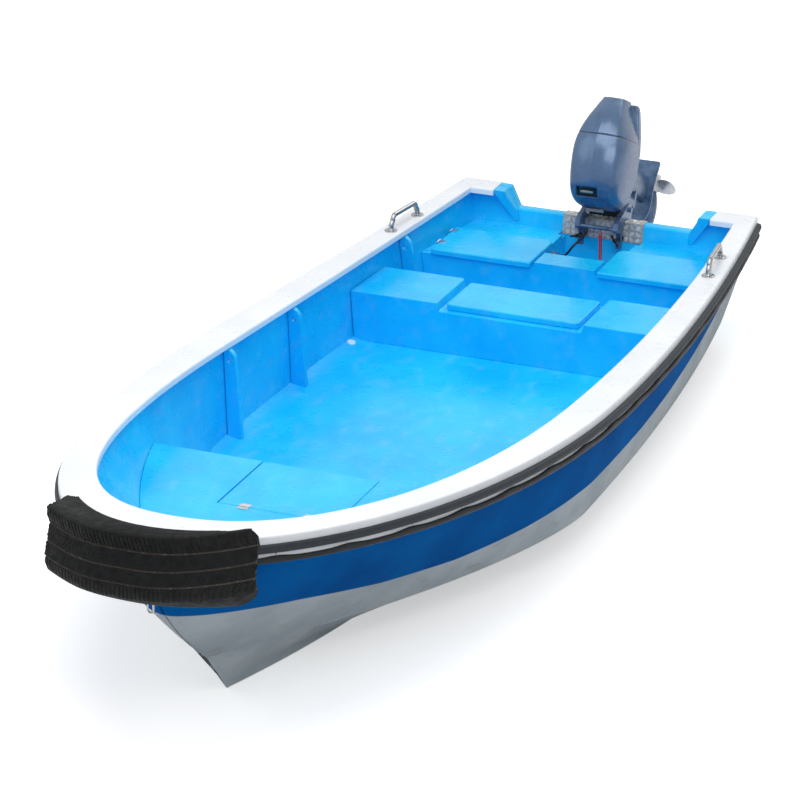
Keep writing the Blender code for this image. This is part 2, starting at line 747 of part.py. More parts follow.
def empty(name, place, parent=None, turn=(0, 0, 0)):
    """A joint's axis: moving pieces are parented to it."""
    made = bpy.data.objects.new(name, None)
    made.location = place
    made.rotation_euler = turn
    made.parent = parent
    bpy.context.collection.objects.link(made)
    return made


def build_hinge(name, foot, side, height):
    """Fixed half of a small butt hinge: a leaf on the moulding and a barrel at the lid's top edge."""
    x, y, z = foot
    outline = ((0.0010, 0.0), (0.0010, height), (0.0034, height), (0.0034, HINGE_T), (0.016, HINGE_T), (0.016, 0.0))
    rings = [[(x + side * out, y + end, z + up) for out, up in outline] for end in (-HINGE_LEN / 2, HINGE_LEN / 2)]
    leaf = add(name, *skin(rings), STAINLESS)
    barrel = disc((x, y - HINGE_LEN / 2 - 0.0005, z + height), HINGE_R, (0, 1, 0), HINGE_LEN + 0.001, 12)
    boolean(leaf, cutter(name + "_barrel", *barrel), "UNION")


def build_locker():
    """Forward locker: a hollow box with a flush hatch let into its top."""
    foot = FLOOR_Z + GAP
    loops = []
    for ring in rings_from(0.0):
        if ring[0] == "turn":
            at_stem = ring == ("turn", math.pi / 2)
            port = list(reversed(wall_points(ring, -0.012 if at_stem else -SIDE_GAP, -GAP)))
            port = [Vector((0.0015, p.y, p.z)) if at_stem else p for p in port]
            loops.append(port + mirrored(port[::-1]))
    made = add("forward_locker", *skin(loops, split=True), AZURE)
    boolean(made, cutter("locker_face", *block((-1.2, 1.2), (LOCKER_Y, 1.0), (0.0, 1.5))))
    boolean(made, cutter("locker_top", *block((-1.2, 1.2), (-3.0, 1.0), (LOCKER_Z, 1.5))))
    inside = HATCH_HALF + 0.060
    hollow = block((-inside, inside), (HATCH_FRONT - 0.060, LOCKER_Y - BOX_WALL), (foot - 0.02, LOCKER_Z - LOCKER_T))
    boolean(made, cutter("locker_hollow", *hollow))
    mouth = HATCH_HALF - LID_LEDGE
    opening = block((-mouth, mouth), (HATCH_FRONT + LID_LEDGE, LOCKER_Y - LID_LEDGE),
                    (LOCKER_Z - 2 * LOCKER_T, LOCKER_Z + 0.02))
    boolean(made, cutter("locker_mouth", *opening))
    rebate = block((-HATCH_HALF - HATCH_GAP, HATCH_HALF + HATCH_GAP),
                   (HATCH_FRONT - HATCH_GAP, LOCKER_Y + 0.02), (LOCKER_Z - HATCH_T, LOCKER_Z + 0.02))
    boolean(made, cutter("hatch_rebate", *rebate))
    bevel(made, 0.005)
    rise = GAP + HINGE_R
    back = HATCH_GAP * 0.4
    hinge = empty("forward_hatch_axis", (0, HATCH_FRONT - back, LOCKER_Z + rise))
    lid = block((-HATCH_HALF, HATCH_HALF), (back, LOCKER_Y - HATCH_FRONT + back), (GAP - HATCH_T - rise, -rise))
    bevel(add("forward_hatch", *lid, AZURE, hinge), 0.003)
    for index, x in enumerate((-HATCH_HINGE_X, HATCH_HINGE_X)):
        build_flat_hinge(f"hatch_hinge_{index + 1}", (x, HATCH_FRONT - back, LOCKER_Z + GAP))


def build_flat_hinge(name, place):
    """Fixed half of a flush hatch's hinge: a leaf ahead of the hatch, with its barrel at the joint."""
    x, y, z = place
    ends = (x - HINGE_LEN / 2, x + HINGE_LEN / 2)
    leaf = add(name, *block(ends, (y - 0.026, y - 0.0024), (z, z + HINGE_T)), STAINLESS)
    barrel = disc((ends[0] - 0.0005, y, z + HINGE_R), HINGE_R, (1, 0, 0), HINGE_LEN + 0.001, 12)
    boolean(leaf, cutter(name + "_barrel", *barrel), "UNION")


def build_handles():
    """Stainless grab handles on the coaming, each a bent tube on two round rosettes."""
    for name, side in (("port", 1), ("starboard", -1)):
        feet = []
        for y in HANDLE_Y:
            point = sheer_point(("y", y), HANDLE_INSET)
            feet.append(Vector((side * point.x, point.y, point.z + 0.0011)))
        along = (feet[1] - feet[0]).normalized()
        up = Vector((1, 0, 0)).cross(along).normalized()
        lean_in = 0.016
        points = [feet[0] + up * 0.001, feet[0] + up * 0.028 + along * 0.004]
        for foot, towards in ((feet[0], along), (feet[1], -along)):
            bend = []
            for k in range(5):
                turn = math.radians(90 * k / 4)
                bend.append(foot + towards * (lean_in + 0.026 * (1 - math.cos(turn)))
                            + up * (HANDLE_H - 0.026 * (1 - math.sin(turn))))
            points += bend if towards is along else bend[::-1]
        points += [feet[1] + up * 0.028 - along * 0.004, feet[1] + up * 0.001]
        made = add(f"grab_handle_{name}", *tube(points, HANDLE_R), STAINLESS)
        for index, foot in enumerate(feet):
            rosette = cutter(f"rosette_{name}_{index + 1}", *disc(foot, ROSETTE_R, up, ROSETTE_T, 28))
            boolean(made, rosette, "UNION")


def build_tyre():
    """A length of old car tyre bent round the bow, its upper sidewall lapped on the coaming."""
    outside = (   # outboard of the coaming's edge, above its top
        (-0.058, 0.016), (-0.010, 0.024), (0.034, 0.026), (0.060, 0.006), (0.078, -0.040), (0.088, -0.105),
        (0.084, -0.170), (0.066, -0.222), (0.036, -0.256), (-0.012, -0.278), (-0.040, -0.284),
    )
    inside = []
    for index, (out, up) in enumerate(outside):
        before = Vector(outside[max(index - 1, 0)])
        after = Vector(outside[min(index + 1, len(outside) - 1)])
        run = (after - before).normalized()
        inside.append((out + run.y * TYRE_T, up - run.x * TYRE_T))
    lowest = min(up for out, up in inside if out < 0 and up > -0.05)
    section = list(outside) + [(out, up - lowest + GAP if up > -0.001 and out < 0.0 else up)
                               for out, up in reversed(inside)]
    loops = []
    count = 26
    for k in range(count + 1):
        turn = TYRE_TURNS[0] + (TYRE_TURNS[1] - TYRE_TURNS[0]) * k / count
        ring = ("turn", math.pi / 2 - abs(turn))
        points = [sheer_point(ring, -out, -up) for out, up in section]
        loops.append(mirrored(points) if turn < 0 else points)
    add("tyre_fender", *skin(loops), TYRE_RUBBER)


def full_lean(mesh_parts):
    """Lean a piece that is set on the transom, at the transom's own slope."""
    verts, faces = mesh_parts
    return [(x, y - (SHEER[0] - z) * math.tan(TRANSOM_RAKE), z) for x, y, z in verts], faces


def build_plate():
    """Chequer plate bent over the transom's cut-out, where the motor clamps."""
    face = Y_STERN - TRANSOM_T - GAP
    top = CUT_Z + GAP
    outline = [(face, CUT_Z - PLATE_DROP), (face, top), (Y_STERN, top), (Y_STERN, top + PLATE_T),
               (face - PLATE_T, top + PLATE_T), (face - PLATE_T, CUT_Z - PLATE_DROP)]
    add("chequer_plate", *full_lean(side_prism(outline, (-PLATE_HALF, PLATE_HALF))), CHEQUER)


def build_bow_eye():
    """Stainless U-bolt on the stem, under the tyre."""
    ring = ("turn", math.pi / 2)
    stem = sorted(hull_side(ring), key=lambda p: p.z)
    for low, high in zip(stem, stem[1:]):
        if low.z <= EYE_Z <= high.z:
            share = (EYE_Z - low.z) / (high.z - low.z)
            seat = low + (high - low) * share
            slope = (high - low).normalized()
            break
    seat = Vector((0, seat.y, seat.z))
    slope = Vector((0, slope.y, slope.z)).normalized()
    out = Vector((0, -slope.z, slope.y))
    if out.y > 0:
        out = -out
    half = 0.020
    points = [seat - slope * half + out * 0.002, seat - slope * half + out * 0.020]
    for k in range(1, 8):
        turn = math.radians(180 * k / 8)
        points.append(seat - slope * half * math.cos(turn) + out * (0.020 + half * math.sin(turn)))
    points += [seat + slope * half + out * 0.020, seat + slope * half + out * 0.002]
    eye = add("bow_eye", *tube(points, EYE_ROD_R, 10), STAINLESS)
    plate = [seat + slope * u + Vector((v, 0, 0)) for u, v in ((-0.034, -0.010), (0.034, -0.010),
                                                                (0.034, 0.010), (-0.034, 0.010))]
    rings = [[p + out * reach for p in plate] for reach in (0.0004, 0.0040)]
    boolean(eye, cutter("bow_eye_plate", *skin(rings)), "UNION")


def build_small_fittings():
    """Drain plug on the cockpit floor and the fitting on the well's side that the fuel hose runs to."""
    y = THWART_Y[0] - DRAIN_AHEAD
    drain = (DRAIN_INSET - wall_half(y, FLOOR_Z), y, FLOOR_Z + GAP)
    add("drain_plug", *disc(drain, 0.020, (0, 0, 1), 0.005, 24), WHITE)
    seat = (GAP - WELL_HALF, FITTING_Y, FITTING_Z)
    fitting = add("hose_fitting", *disc(seat, 0.016, (1, 0, 0), 0.005, 20), GREY_PLASTIC)
    boolean(fitting, cutter("hose_stub", *disc(seat, 0.0075, (1, 0, 0), 0.017, 16)), "UNION")


def bar_place():
    """Centre of the clamp's front cross bar, in y and z."""
    _, y, z = full_lean(([(0, Y_STERN - TRANSOM_T - BAR_AHEAD, CUT_Z - 0.006)], []))[0][0]
    return y, z


def build_clamp():
    """Clamp bracket hooked over the transom: two arms, the tilt tube, a lower rod and a front bar."""
    inside = Y_STERN - TRANSOM_T
    rest = CUT_Z + PLATE_T + 2 * GAP
    low_z = CUT_Z - 0.235
    front = inside - BAR_AHEAD
    arm = [(inside - 0.046, CUT_Z - 0.116), (inside - 0.026, CUT_Z - 0.118), (inside - 0.022, CUT_Z - 0.020),
           (inside - 0.022, rest), (Y_STERN + 2 * GAP, rest), (Y_STERN + 2 * GAP, low_z),
           (Y_STERN + 0.030, low_z), (Y_STERN + 0.040, CUT_Z - 0.120), (Y_STERN + 0.040, CUT_Z + 0.020),
           (Y_STERN + 0.024, CUT_Z + 0.066), (Y_STERN - 0.004, CUT_Z + 0.078), (inside + 0.010, CUT_Z + 0.070),
           (inside - 0.034, CUT_Z + 0.052), (front + 0.014, CUT_Z + 0.042), (front - 0.008, CUT_Z + 0.026),
           (front - 0.014, CUT_Z - 0.006), (front - 0.008, CUT_Z - 0.020), (front + 0.010, CUT_Z - 0.024),
           (inside - 0.060, CUT_Z - 0.030), (inside - 0.050, CUT_Z - 0.056)]
    bracket = add("clamp_bracket", *full_lean(side_prism(arm, (ARM_X[0], ARM_X[1]))), SLATE)
    other = cutter("clamp_arm", *full_lean(side_prism(arm, (-ARM_X[0], -ARM_X[1]))))
    boolean(bracket, other, "UNION")
    tube_start = (-TILT_TUBE_HALF, TILT_Y, TILT_Z)
    boolean(bracket, cutter("tilt_tube", *disc(tube_start, TILT_TUBE_R, (1, 0, 0), 2 * TILT_TUBE_HALF, 20)), "UNION")
    _, rod_y, rod_z = full_lean(([(0, Y_STERN + 0.018, low_z + 0.022)], []))[0][0]
    rod = disc((-ARM_X[0] - 0.006, rod_y, rod_z), 0.006, (1, 0, 0), 2 * ARM_X[0] + 0.012, 14)
    boolean(bracket, cutter("cross_rod", *rod), "UNION")
    bar = disc((-ARM_X[0] - 0.006, *bar_place()), BAR_R, (1, 0, 0), 2 * ARM_X[0] + 0.012, 16)
    boolean(bracket, cutter("front_bar", *bar), "UNION")
    axis = Vector((0, -math.cos(TRANSOM_RAKE), math.sin(TRANSOM_RAKE)))
    z = CUT_Z - SCREW_DROP
    pad_y = inside - GAP - PLATE_T - (SHEER[0] - z) * math.tan(TRANSOM_RAKE)
    for name, side in (("port", 1), ("starboard", -1)):
        pad = Vector((side * (ARM_X[0] + ARM_X[1]) / 2, pad_y, z)) + axis * GAP * 2
        boolean(bracket, cutter(f"clamp_hole_{name}", *disc(pad, 0.0095, axis, 0.09, 20)))
        screw = add(f"clamp_screw_{name}", *disc(pad, 0.0085, axis, SCREW_LEN, 16), BLACK)
        boolean(screw, cutter(f"clamp_pad_{name}", *disc(pad, 0.014, axis, 0.005, 20)), "UNION")
        turn = math.radians(-58 if side > 0 else 12)
        grip = Vector((math.cos(turn), 0, math.sin(turn))) * GRIP_HALF
        end = pad + axis * (SCREW_LEN - 0.007)
        boolean(screw, cutter(f"clamp_grip_{name}", *tube([end - grip, end, end + grip], 0.0055, 12)), "UNION")


def build_swivel(frame):
    """Swivel bracket: turns on the tilt tube and carries the steering shaft."""
    bore = TILT_TUBE_R + 0.001
    width = ARM_X[0] - 0.003
    swivel = add("swivel_bracket", *disc((-width, 0, 0), 0.024, (1, 0, 0), 2 * width, 24), SLATE, frame)
    web = block((-0.046, 0.046), (0.004, SWIVEL_A), (-0.075, 0.012))
    boolean(swivel, cutter("swivel_web", *web, frame), "UNION")
    low = block((-0.016, 0.016), (0.026, SWIVEL_A), (SWIVEL_U[0] + 0.01, -0.05))
    boolean(swivel, cutter("swivel_rib", *low, frame), "UNION")
    housing = disc((0, SWIVEL_A, SWIVEL_U[0]), SWIVEL_R, (0, 0, 1), SWIVEL_U[1] - SWIVEL_U[0], 24)
    boolean(swivel, cutter("swivel_housing", *housing, frame), "UNION")
    shaft = disc((0, SWIVEL_A, SWIVEL_U[0] - 0.01), STEER_SHAFT_R + 0.001, (0, 0, 1),
                 SWIVEL_U[1] - SWIVEL_U[0] + 0.02, 20)
    boolean(swivel, cutter("swivel_bore", *shaft, frame))
    boolean(swivel, cutter("tilt_bore", *disc((-0.2, 0, 0), bore, (1, 0, 0), 0.4, 20), frame))


def foil(a_from, a_to, half, u, count=16):
    """Level outline of a leg section: round at the front, tapering aft. The steering axis is the origin."""
    points = []
    for k in range(count):
        turn = 2 * math.pi * (k + 0.5) / count
        along = (1 - math.cos(turn)) / 2
        thick = math.sin(turn) * (1.0 - 0.35 * along)
        points.append(Vector((thick * half, a_from + (a_to - a_from) * along - SWIVEL_A, u)))
    return points


def build_leg(frame):
    """Mid section with its two yokes and steering shaft, and the gearcase with plate and skeg."""
    top = PAN_U[0] - GAP
    table = (   # u, front, back, half width
        (top, 0.118, 0.300, 0.060), (0.000, 0.118, 0.290, 0.054), (-0.150, 0.120, 0.270, 0.044),
        (-0.340, 0.118, 0.255, 0.038), (PLATE_U + 0.008 + GAP, 0.100, 0.245, 0.034),
    )
    leg = add("mid_section", *skin([foil(a, b, half, u) for u, a, b, half in table]), SLATE, frame)
    upper = block((-0.046, 0.046), (-0.030, 0.100), (SWIVEL_U[1] + 0.003, top))
    boolean(leg, cutter("upper_yoke", *upper, frame), "UNION")
    lower = block((-0.026, 0.026), (-0.026, 0.090), (SWIVEL_U[0] - 0.030, SWIVEL_U[0] - 0.003))
    boolean(leg, cutter("lower_yoke", *lower, frame), "UNION")
    shaft = disc((0, 0, SWIVEL_U[0] - 0.02), STEER_SHAFT_R, (0, 0, 1), SWIVEL_U[1] - SWIVEL_U[0] + 0.035, 20)
    boolean(leg, cutter("steering_shaft", *shaft, frame), "UNION")
    shares = (  # along the plate, and of its half width
        (0.00, 0.30), (0.04, 0.56), (0.12, 0.72), (0.22, 0.82), (0.32, 0.86), (0.45, 0.84), (0.60, 0.84),
        (0.75, 0.90), (0.90, 0.98), (0.97, 1.00), (1.00, 0.93),
    )
    plate = [(PLATE_HALF_W * wide, PLATE_A[0] - SWIVEL_A + (PLATE_A[1] - PLATE_A[0]) * along)
             for along, wide in shares]
    outline = plate + [(-x, a) for x, a in reversed(plate)]
    gear = add("gearcase", *prism(outline, (PLATE_U, PLATE_U + 0.008)), SLATE, frame)
    strut = [foil(0.095, 0.235, 0.030, PLATE_U + 0.004),
             foil(PROP_A - 0.140, PROP_A - 0.050, 0.026, PROP_U + PROP_R - 0.004),
             foil(PROP_A - 0.165, PROP_A - 0.060, 0.022, PROP_U + 0.02)]
    boolean(gear, cutter("gear_strut", *skin(strut), frame), "UNION")
    rings = []
    for k in range(12):
        share = k / 11
        a = PROP_A - 0.235 + (0.235 - 0.0306) * share
        radius = 0.042 * max(math.sin(math.pi * min(0.12 + share * 0.75, 1.0)), 0.1) ** 0.55
        rings.append([Vector((radius * math.cos(t), a - SWIVEL_A, PROP_U + radius * math.sin(t)))
                      for t in (2 * math.pi * j / 20 for j in range(20))])
    boolean(gear, cutter("torpedo", *skin(rings), frame), "UNION")
    skeg = [(PROP_A - 0.190, PROP_U - 0.02), (PROP_A - 0.055, PROP_U - 0.02),
            (PROP_A - 0.062, PROP_U - 0.098), (PROP_A - 0.110, PROP_U - 0.108)]
    boolean(gear, cutter("skeg", *side_prism([(a - SWIVEL_A, u) for a, u in skeg], (-0.005, 0.005)), frame), "UNION")


def build_propeller(frame):
    """Three-bladed propeller on its hub."""
    hub = disc((0, -0.030, 0), 0.036, (0, 1, 0), 0.085, 24)
    prop = add("propeller", *hub, PROP_METAL, frame)
    for index in range(3):
        turn = 2 * math.pi * index / 3
        rings = []
        for k in range(15):
            share = k / 14
            radius = 0.026 + (PROP_R - 0.026) * share
            chord = 0.054 + 0.062 * math.sin(math.pi * 0.62 * share ** 0.9)
            chord *= math.sqrt(max(1.0 - share ** 8, 0.12))
            twist = math.atan(PROP_PITCH / (2 * math.pi * radius))
            section = []
            for along, thick in ((-0.5, 0.0008), (0.0, 0.0026), (0.5, 0.0008), (0.5, -0.0008), (0.0, -0.0026),
                                 (-0.5, -0.0008)):
                across = along * chord * math.cos(twist) - thick * math.sin(twist)
                reach = along * chord * math.sin(twist) + thick * math.cos(twist)
                x = radius * math.cos(turn) - across * math.sin(turn)
                z = radius * math.sin(turn) + across * math.cos(turn)
                section.append(Vector((x, reach, z)))
            rings.append(section)
        boolean(prop, cutter(f"blade_{index + 1}", *skin(rings), frame), "UNION")


def cowl_section(a, half, top, low, inset=0.0):
    """Section of the top cowl across the boat: straight sides that lean in and a crowned top."""
    half -= inset
    top -= inset
    points = [Vector((-half, a - SWIVEL_A, low))]
    count = 10
    for k in range(count + 1):
        turn = math.pi * k / count
        x = -math.copysign(abs(math.cos(turn)) ** 0.55, math.cos(turn)) * half
        z = low + (top - low) * (0.35 + 0.65 * abs(math.sin(turn)) ** 0.60)
        points.append(Vector((x * (1 - 0.10 * (z - low) / (top - low)), a - SWIVEL_A, z)))
    points.append(Vector((half, a - SWIVEL_A, low)))
    return points


def pan_share(u):
    """Width and length of the lower cowl at a height, as shares of its plan."""
    table = ((PAN_U[0], 0.90, 0.94), (PAN_U[0] + 0.022, 1.0, 1.0), (PAN_U[1], 1.0, 1.0))
    for low, high in zip(table, table[1:]):
        if low[0] <= u <= high[0]:
            share = (u - low[0]) / (high[0] - low[0])
            return low[1] + (high[1] - low[1]) * share, low[2] + (high[2] - low[2]) * share
    return 1.0, 1.0


def pan_front(u):
    """Place of the lower cowl's front at a height."""
    middle = (PAN_PLAN[0][0] + PAN_PLAN[-1][0]) / 2
    return middle + (PAN_PLAN[0][0] - middle) * pan_share(u)[1]


def build_cowls(frame):
    """Lower pan, hollow top cowl, the engine's block inside it and the starter's handle."""
    pan = []
    middle = (PAN_PLAN[0][0] + PAN_PLAN[-1][0]) / 2
    for u in (PAN_U[0], PAN_U[0] + 0.022, PAN_U[1]):
        wide, long = pan_share(u)
        right = [(half * wide, middle + (a - middle) * long) for a, half in PAN_PLAN]
        outline = right + [(-x, a) for x, a in reversed(right)]
        pan.append([Vector((x, a - SWIVEL_A, u)) for x, a in outline])
    add("lower_cowl", *skin(pan), SLATE, frame)
    rings = [cowl_section(a, half - 0.001, top, COWL_LOW) for a, half, top in COWL_PLAN]
    cowl = add("top_cowl", *skin(rings), SLATE, frame)
    inner = []
    for a, half, top in COWL_PLAN:
        pulled = min(max(a, COWL_PLAN[0][0] + COWL_T), COWL_PLAN[-1][0] - COWL_T)
        inner.append(cowl_section(pulled, half - 0.001, top, COWL_LOW, COWL_T))
    for ring in inner:
        ring[0].z -= 0.02
        ring[-1].z -= 0.02
    boolean(cowl, cutter("cowl_hollow", *skin(inner), frame))
    engine = block((-0.088, 0.088), (0.040 - SWIVEL_A, 0.360 - SWIVEL_A), (PAN_U[1] + GAP, 0.270))
    add("powerhead", *engine, BLACK, frame)
    grip_a = COWL_PLAN[0][0] - 0.012
    grip = add("starter_handle", *block((-0.045, 0.045), (grip_a - 0.010 - SWIVEL_A, grip_a + 0.004 - SWIVEL_A),
                                        (0.182, 0.202)), GREY_PLASTIC, frame)
    stem = disc((0, COWL_PLAN[0][0] - GAP - SWIVEL_A, 0.192), 0.008, (0, -1, 0), 0.012, 16)
    boolean(grip, cutter("starter_stem", *stem, frame), "UNION")
    bevel(grip, 0.004)


def build_motor():
    """Outboard on its clamp: tilt, steering and propeller each have an axis."""
    build_clamp()
    tilt = empty("motor_tilt_axis", (0, TILT_Y, TILT_Z), None, (TILT_REST, 0, 0))
    steer = empty("motor_steer_axis", (0, SWIVEL_A, 0), tilt)
    prop = empty("propeller_axis", (0, PROP_A - SWIVEL_A, PROP_U), steer)
    build_swivel(tilt)
    build_leg(steer)
    build_cowls(steer)
    build_propeller(prop)
    front = pan_front(SWITCH_U) - GAP
    add("stop_switch", *disc((SWITCH_X, front - SWIVEL_A, SWITCH_U), 0.009, (0, -1, 0), 0.012, 16), BLACK, steer)


def build_cords():
    """Fuel hose from the clamp's cross bar to the well's side, and the coiled stop lanyard with its clip."""
    bar_y, bar_z = bar_place()
    down = Vector((0, -0.5, -1)).normalized()
    seat = Vector((CONNECTOR_X, bar_y, bar_z)) + down * (BAR_R + GAP)
    add("fuel_connector", *disc(seat, CONNECTOR_R, down, CONNECTOR_LEN, 16), BLACK)
    start = seat + down * (CONNECTOR_LEN + 0.0006)
    end = Vector((GAP - WELL_HALF + 0.0176, FITTING_Y, FITTING_Z))
    middle = (start + end) / 2
    route = (start, start + down * 0.012, middle + Vector((0.022, -0.026, -0.002)),
             end + Vector((0.046, 0.004, 0.003)), end + Vector((0.012, 0, 0)), end)
    cord("fuel_hose", route, HOSE_R, BLACK, 0.012)
    top = Vector((LANYARD_X, bar_y, bar_z - BAR_R - GAP))
    low = top + Vector((0, -0.038, -1.0)) * LANYARD_LEN
    cord("stop_lanyard", (top, (top + low) / 2, low), LANYARD_R, RED_CORD, 0.018)
    clip = block((low.x - 0.010, low.x + 0.010), (low.y - 0.007, low.y + 0.001), (low.z - 0.036, low.z - 0.0006))
    bevel(add("lanyard_clip", *clip, RED_CORD), 0.002)


def clear_scene():
    """Remove every object of the open file."""
    for old in list(bpy.data.objects):
        bpy.data.objects.remove(old)


def main():
    clear_scene()
    build_hull()
    build_liner()
    build_transom()
    build_coaming()
    build_rails()
    build_knees()
    build_ribs()
    build_thwart()
    build_bench()
    build_locker()
    build_handles()
    build_tyre()
    build_plate()
    build_bow_eye()
    build_small_fittings()
    build_motor()
    build_cords()


main()
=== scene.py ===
"""Looks of an open fibreglass panga with a tilted outboard motor, built around its CAD frame.

Everything is in metres in the CAD's frame: the bow points along -Y, port is +X, and z is 0 under the keel
pad. New pieces are surfaces worked out with numpy, and each of them says its formula in words.
"""
import math

import bmesh
import bpy
import numpy as np
from mathutils import Matrix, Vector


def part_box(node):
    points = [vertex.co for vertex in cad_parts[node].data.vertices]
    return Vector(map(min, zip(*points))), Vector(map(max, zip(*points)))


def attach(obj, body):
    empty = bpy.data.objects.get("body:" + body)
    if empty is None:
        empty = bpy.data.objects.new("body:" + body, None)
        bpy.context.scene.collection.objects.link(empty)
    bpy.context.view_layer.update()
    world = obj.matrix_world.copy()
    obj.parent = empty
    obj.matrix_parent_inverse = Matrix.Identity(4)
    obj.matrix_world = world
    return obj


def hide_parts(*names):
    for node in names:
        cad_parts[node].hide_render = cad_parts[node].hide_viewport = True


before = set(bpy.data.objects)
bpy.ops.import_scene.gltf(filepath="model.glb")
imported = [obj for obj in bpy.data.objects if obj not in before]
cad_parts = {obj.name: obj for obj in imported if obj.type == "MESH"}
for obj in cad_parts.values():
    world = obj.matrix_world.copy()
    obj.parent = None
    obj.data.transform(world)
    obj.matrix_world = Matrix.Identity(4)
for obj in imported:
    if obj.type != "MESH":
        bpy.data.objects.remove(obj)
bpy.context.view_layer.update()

# The hull's long lines, as in the CAD: half breadth at the widest place and at the stern, power of the
# run aft, y at the stem, and the two powers of the rounding at the bow
Y_STERN, Y_WIDE = 2.45, -0.25
RAIL_LINE = (0.976, 0.760, 1.75, -2.680, 1.9, 2.0)
COCKPIT_LINE = (0.816, 0.666, 1.90, -2.370, 2.1, 2.3)
CHINE_LINE = (0.880, 0.655, 2.20, -2.110, 1.5, 1.0)
PAD_LINE = (0.300, 0.320, 1.00, -1.930, 2.0, 1.0)
FLOOR_LINE = (0.840, 0.612, 2.20, -1.900, 1.5, 1.0)
SHEER = (0.600, 0.675, 0.990)       # height at the stern, amidships and at the bow
CHINE = (0.200, 0.196, 0.225)       # the same for the chine
TRANSOM_T = 0.055
TRANSOM_RAKE = math.radians(10)
LEAN_FROM = 2.05                    # aft of this y the mouldings lean with the transom
STEM_HALF = 0.004
FLOOR_Z = 0.226
LINER_T = 0.006
OVERHANG = 0.035                    # of the coaming over the cockpit's wall
COAMING_T = 0.030
FLANGE_T = 0.010
FLANGE_H = 0.098
WING_END = 0.560
WING_DEPTH = 0.125
GAP = 0.0003                        # between pieces that touch
PLATE_Z = 0.502                     # top of the transom under the chequer plate
PLATE_FOLD = 0.095                  # length of the plate's face before it folds aft

RIBS = tuple(f"rib_{side}_{k}" for side in ("port", "starboard") for k in (1, 2, 3))
LID_HINGES = tuple(f"hinge_{side}_{k}" for side in ("port", "starboard") for k in (1, 2))
HATCH_HINGES = ("hatch_hinge_1", "hatch_hinge_2")

# The motor's own frame: a aft and u up from the tilt axis when it is upright
TILT = np.array((0.0, 2.440, 0.548))
TILT_REST = math.radians(62)


# Shapes

def as_points(x, y, z):
    """Three arrays of one shape joined into points."""
    return np.stack(np.broadcast_arrays(x, y, z), axis=-1).astype(float)


def unit(vector):
    """A vector, or rows of them, made one long."""
    return vector / np.linalg.norm(vector, axis=-1, keepdims=True)


def link_object(name, data):
    """A new object in the scene."""
    made = bpy.data.objects.new(name, data)
    bpy.context.scene.collection.objects.link(made)
    return made


def placed(right, up, back, where):
    """World matrix of an object with these axes at a place."""
    matrix = Matrix.Identity(4)
    for row in range(3):
        matrix[row] = (right[row], up[row], back[row], where[row])
    return matrix


def box_of(node):
    """Lowest and highest corner of a CAD node."""
    return tuple(np.array(corner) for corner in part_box(node))


def mesh_piece(name, verts, faces, material, body, smooth=True, sharp=35, marks=None):
    """A mesh object at the origin that rides on a CAD body. Marks are values kept at its points."""
    mesh = bpy.data.meshes.new(name)
    mesh.from_pydata(np.asarray(verts, float).reshape(-1, 3).tolist(), [], [list(map(int, f)) for f in faces])
    for mark, values in (marks or {}).items():
        kept = mesh.attributes.new(mark, "FLOAT", "POINT")
        kept.data.foreach_set("value", np.ravel(values).astype(np.float32))
    work = bmesh.new()
    work.from_mesh(mesh)
    bmesh.ops.remove_doubles(work, verts=work.verts, dist=1e-6)
    bmesh.ops.dissolve_degenerate(work, edges=work.edges, dist=1e-7)
    bmesh.ops.recalc_face_normals(work, faces=work.faces)
    work.to_mesh(mesh)
    work.free()
    if smooth:
        mesh.shade_smooth()
        mesh.set_sharp_from_angle(angle=math.radians(sharp))
    mesh.materials.append(material)
    piece = link_object(name, mesh)
    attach(piece, body)
    return piece


def grid_faces(rows, cols):
    """Quads between neighbours on rows of points that are closed round, and a flat face at either end."""
    i, j = (m.ravel() for m in np.meshgrid(np.arange(rows - 1) * cols, np.arange(cols), indexing="ij"))
    beside = (j + 1) % cols
    faces = np.stack([i + j, i + beside, i + cols + beside, i + cols + j], axis=1).tolist()
    return faces + [list(range(cols)), list(range((rows - 1) * cols, rows * cols))]


def tube_mesh(path, radius, sides=12):
    """A closed round bar: each ring stands square to the path and doesn't twist."""
    path = np.asarray(path, float)
    along = unit(np.gradient(path, axis=0))
    side = np.cross(along[0], (0.0, 0.0, 1.0) if abs(along[0][2]) < 0.9 else (1.0, 0.0, 0.0))
    carried = []
    for direction in along:
        side = unit(side - direction * side.dot(direction))
        carried.append(side)
    side = np.array(carried)[:, None]
    other = np.cross(along, carried)[:, None]
    angle = np.linspace(0, 2 * math.pi, sides, endpoint=False)[None, :, None]
    radius = np.broadcast_to(np.asarray(radius, float), (len(path),))[:, None, None]
    rings = path[:, None] + (np.cos(angle) * side + np.sin(angle) * other) * radius
    return rings.reshape(-1, 3), grid_faces(len(rings), sides)


def joined(parts):
    """Several meshes as one."""
    verts, faces, first = [], [], 0
    for part_verts, part_faces in parts:
        part_verts = np.asarray(part_verts, float).reshape(-1, 3)
        verts.append(part_verts)
        faces += [[index + first for index in face] for face in part_faces]
        first += len(part_verts)
    return np.concatenate(verts), faces


def smooth_curve(points, count):
    """Points at even steps along a smooth curve of cubics through the given points."""
    points = np.asarray(points, float)
    ends = np.concatenate([[2 * points[0] - points[1]], points, [2 * points[-1] - points[-2]]])
    t = np.linspace(0, 1, 40, endpoint=False)[:, None]
    parts = []
    for k in range(len(points) - 1):
        a, b, c, d = ends[k:k + 4]
        square, cube = 2 * a - 5 * b + 4 * c - d, 3 * b - a - 3 * c + d
        parts.append(0.5 * (2 * b + (c - a) * t + square * t ** 2 + cube * t ** 3))
    line = np.concatenate(parts + [points[-1:]])
    reach = np.concatenate([[0], np.cumsum(np.linalg.norm(np.diff(line, axis=0), axis=1))])
    at = np.linspace(0, reach[-1], count)
    return np.stack([np.interp(at, reach, line[:, axis]) for axis in range(3)], axis=1)


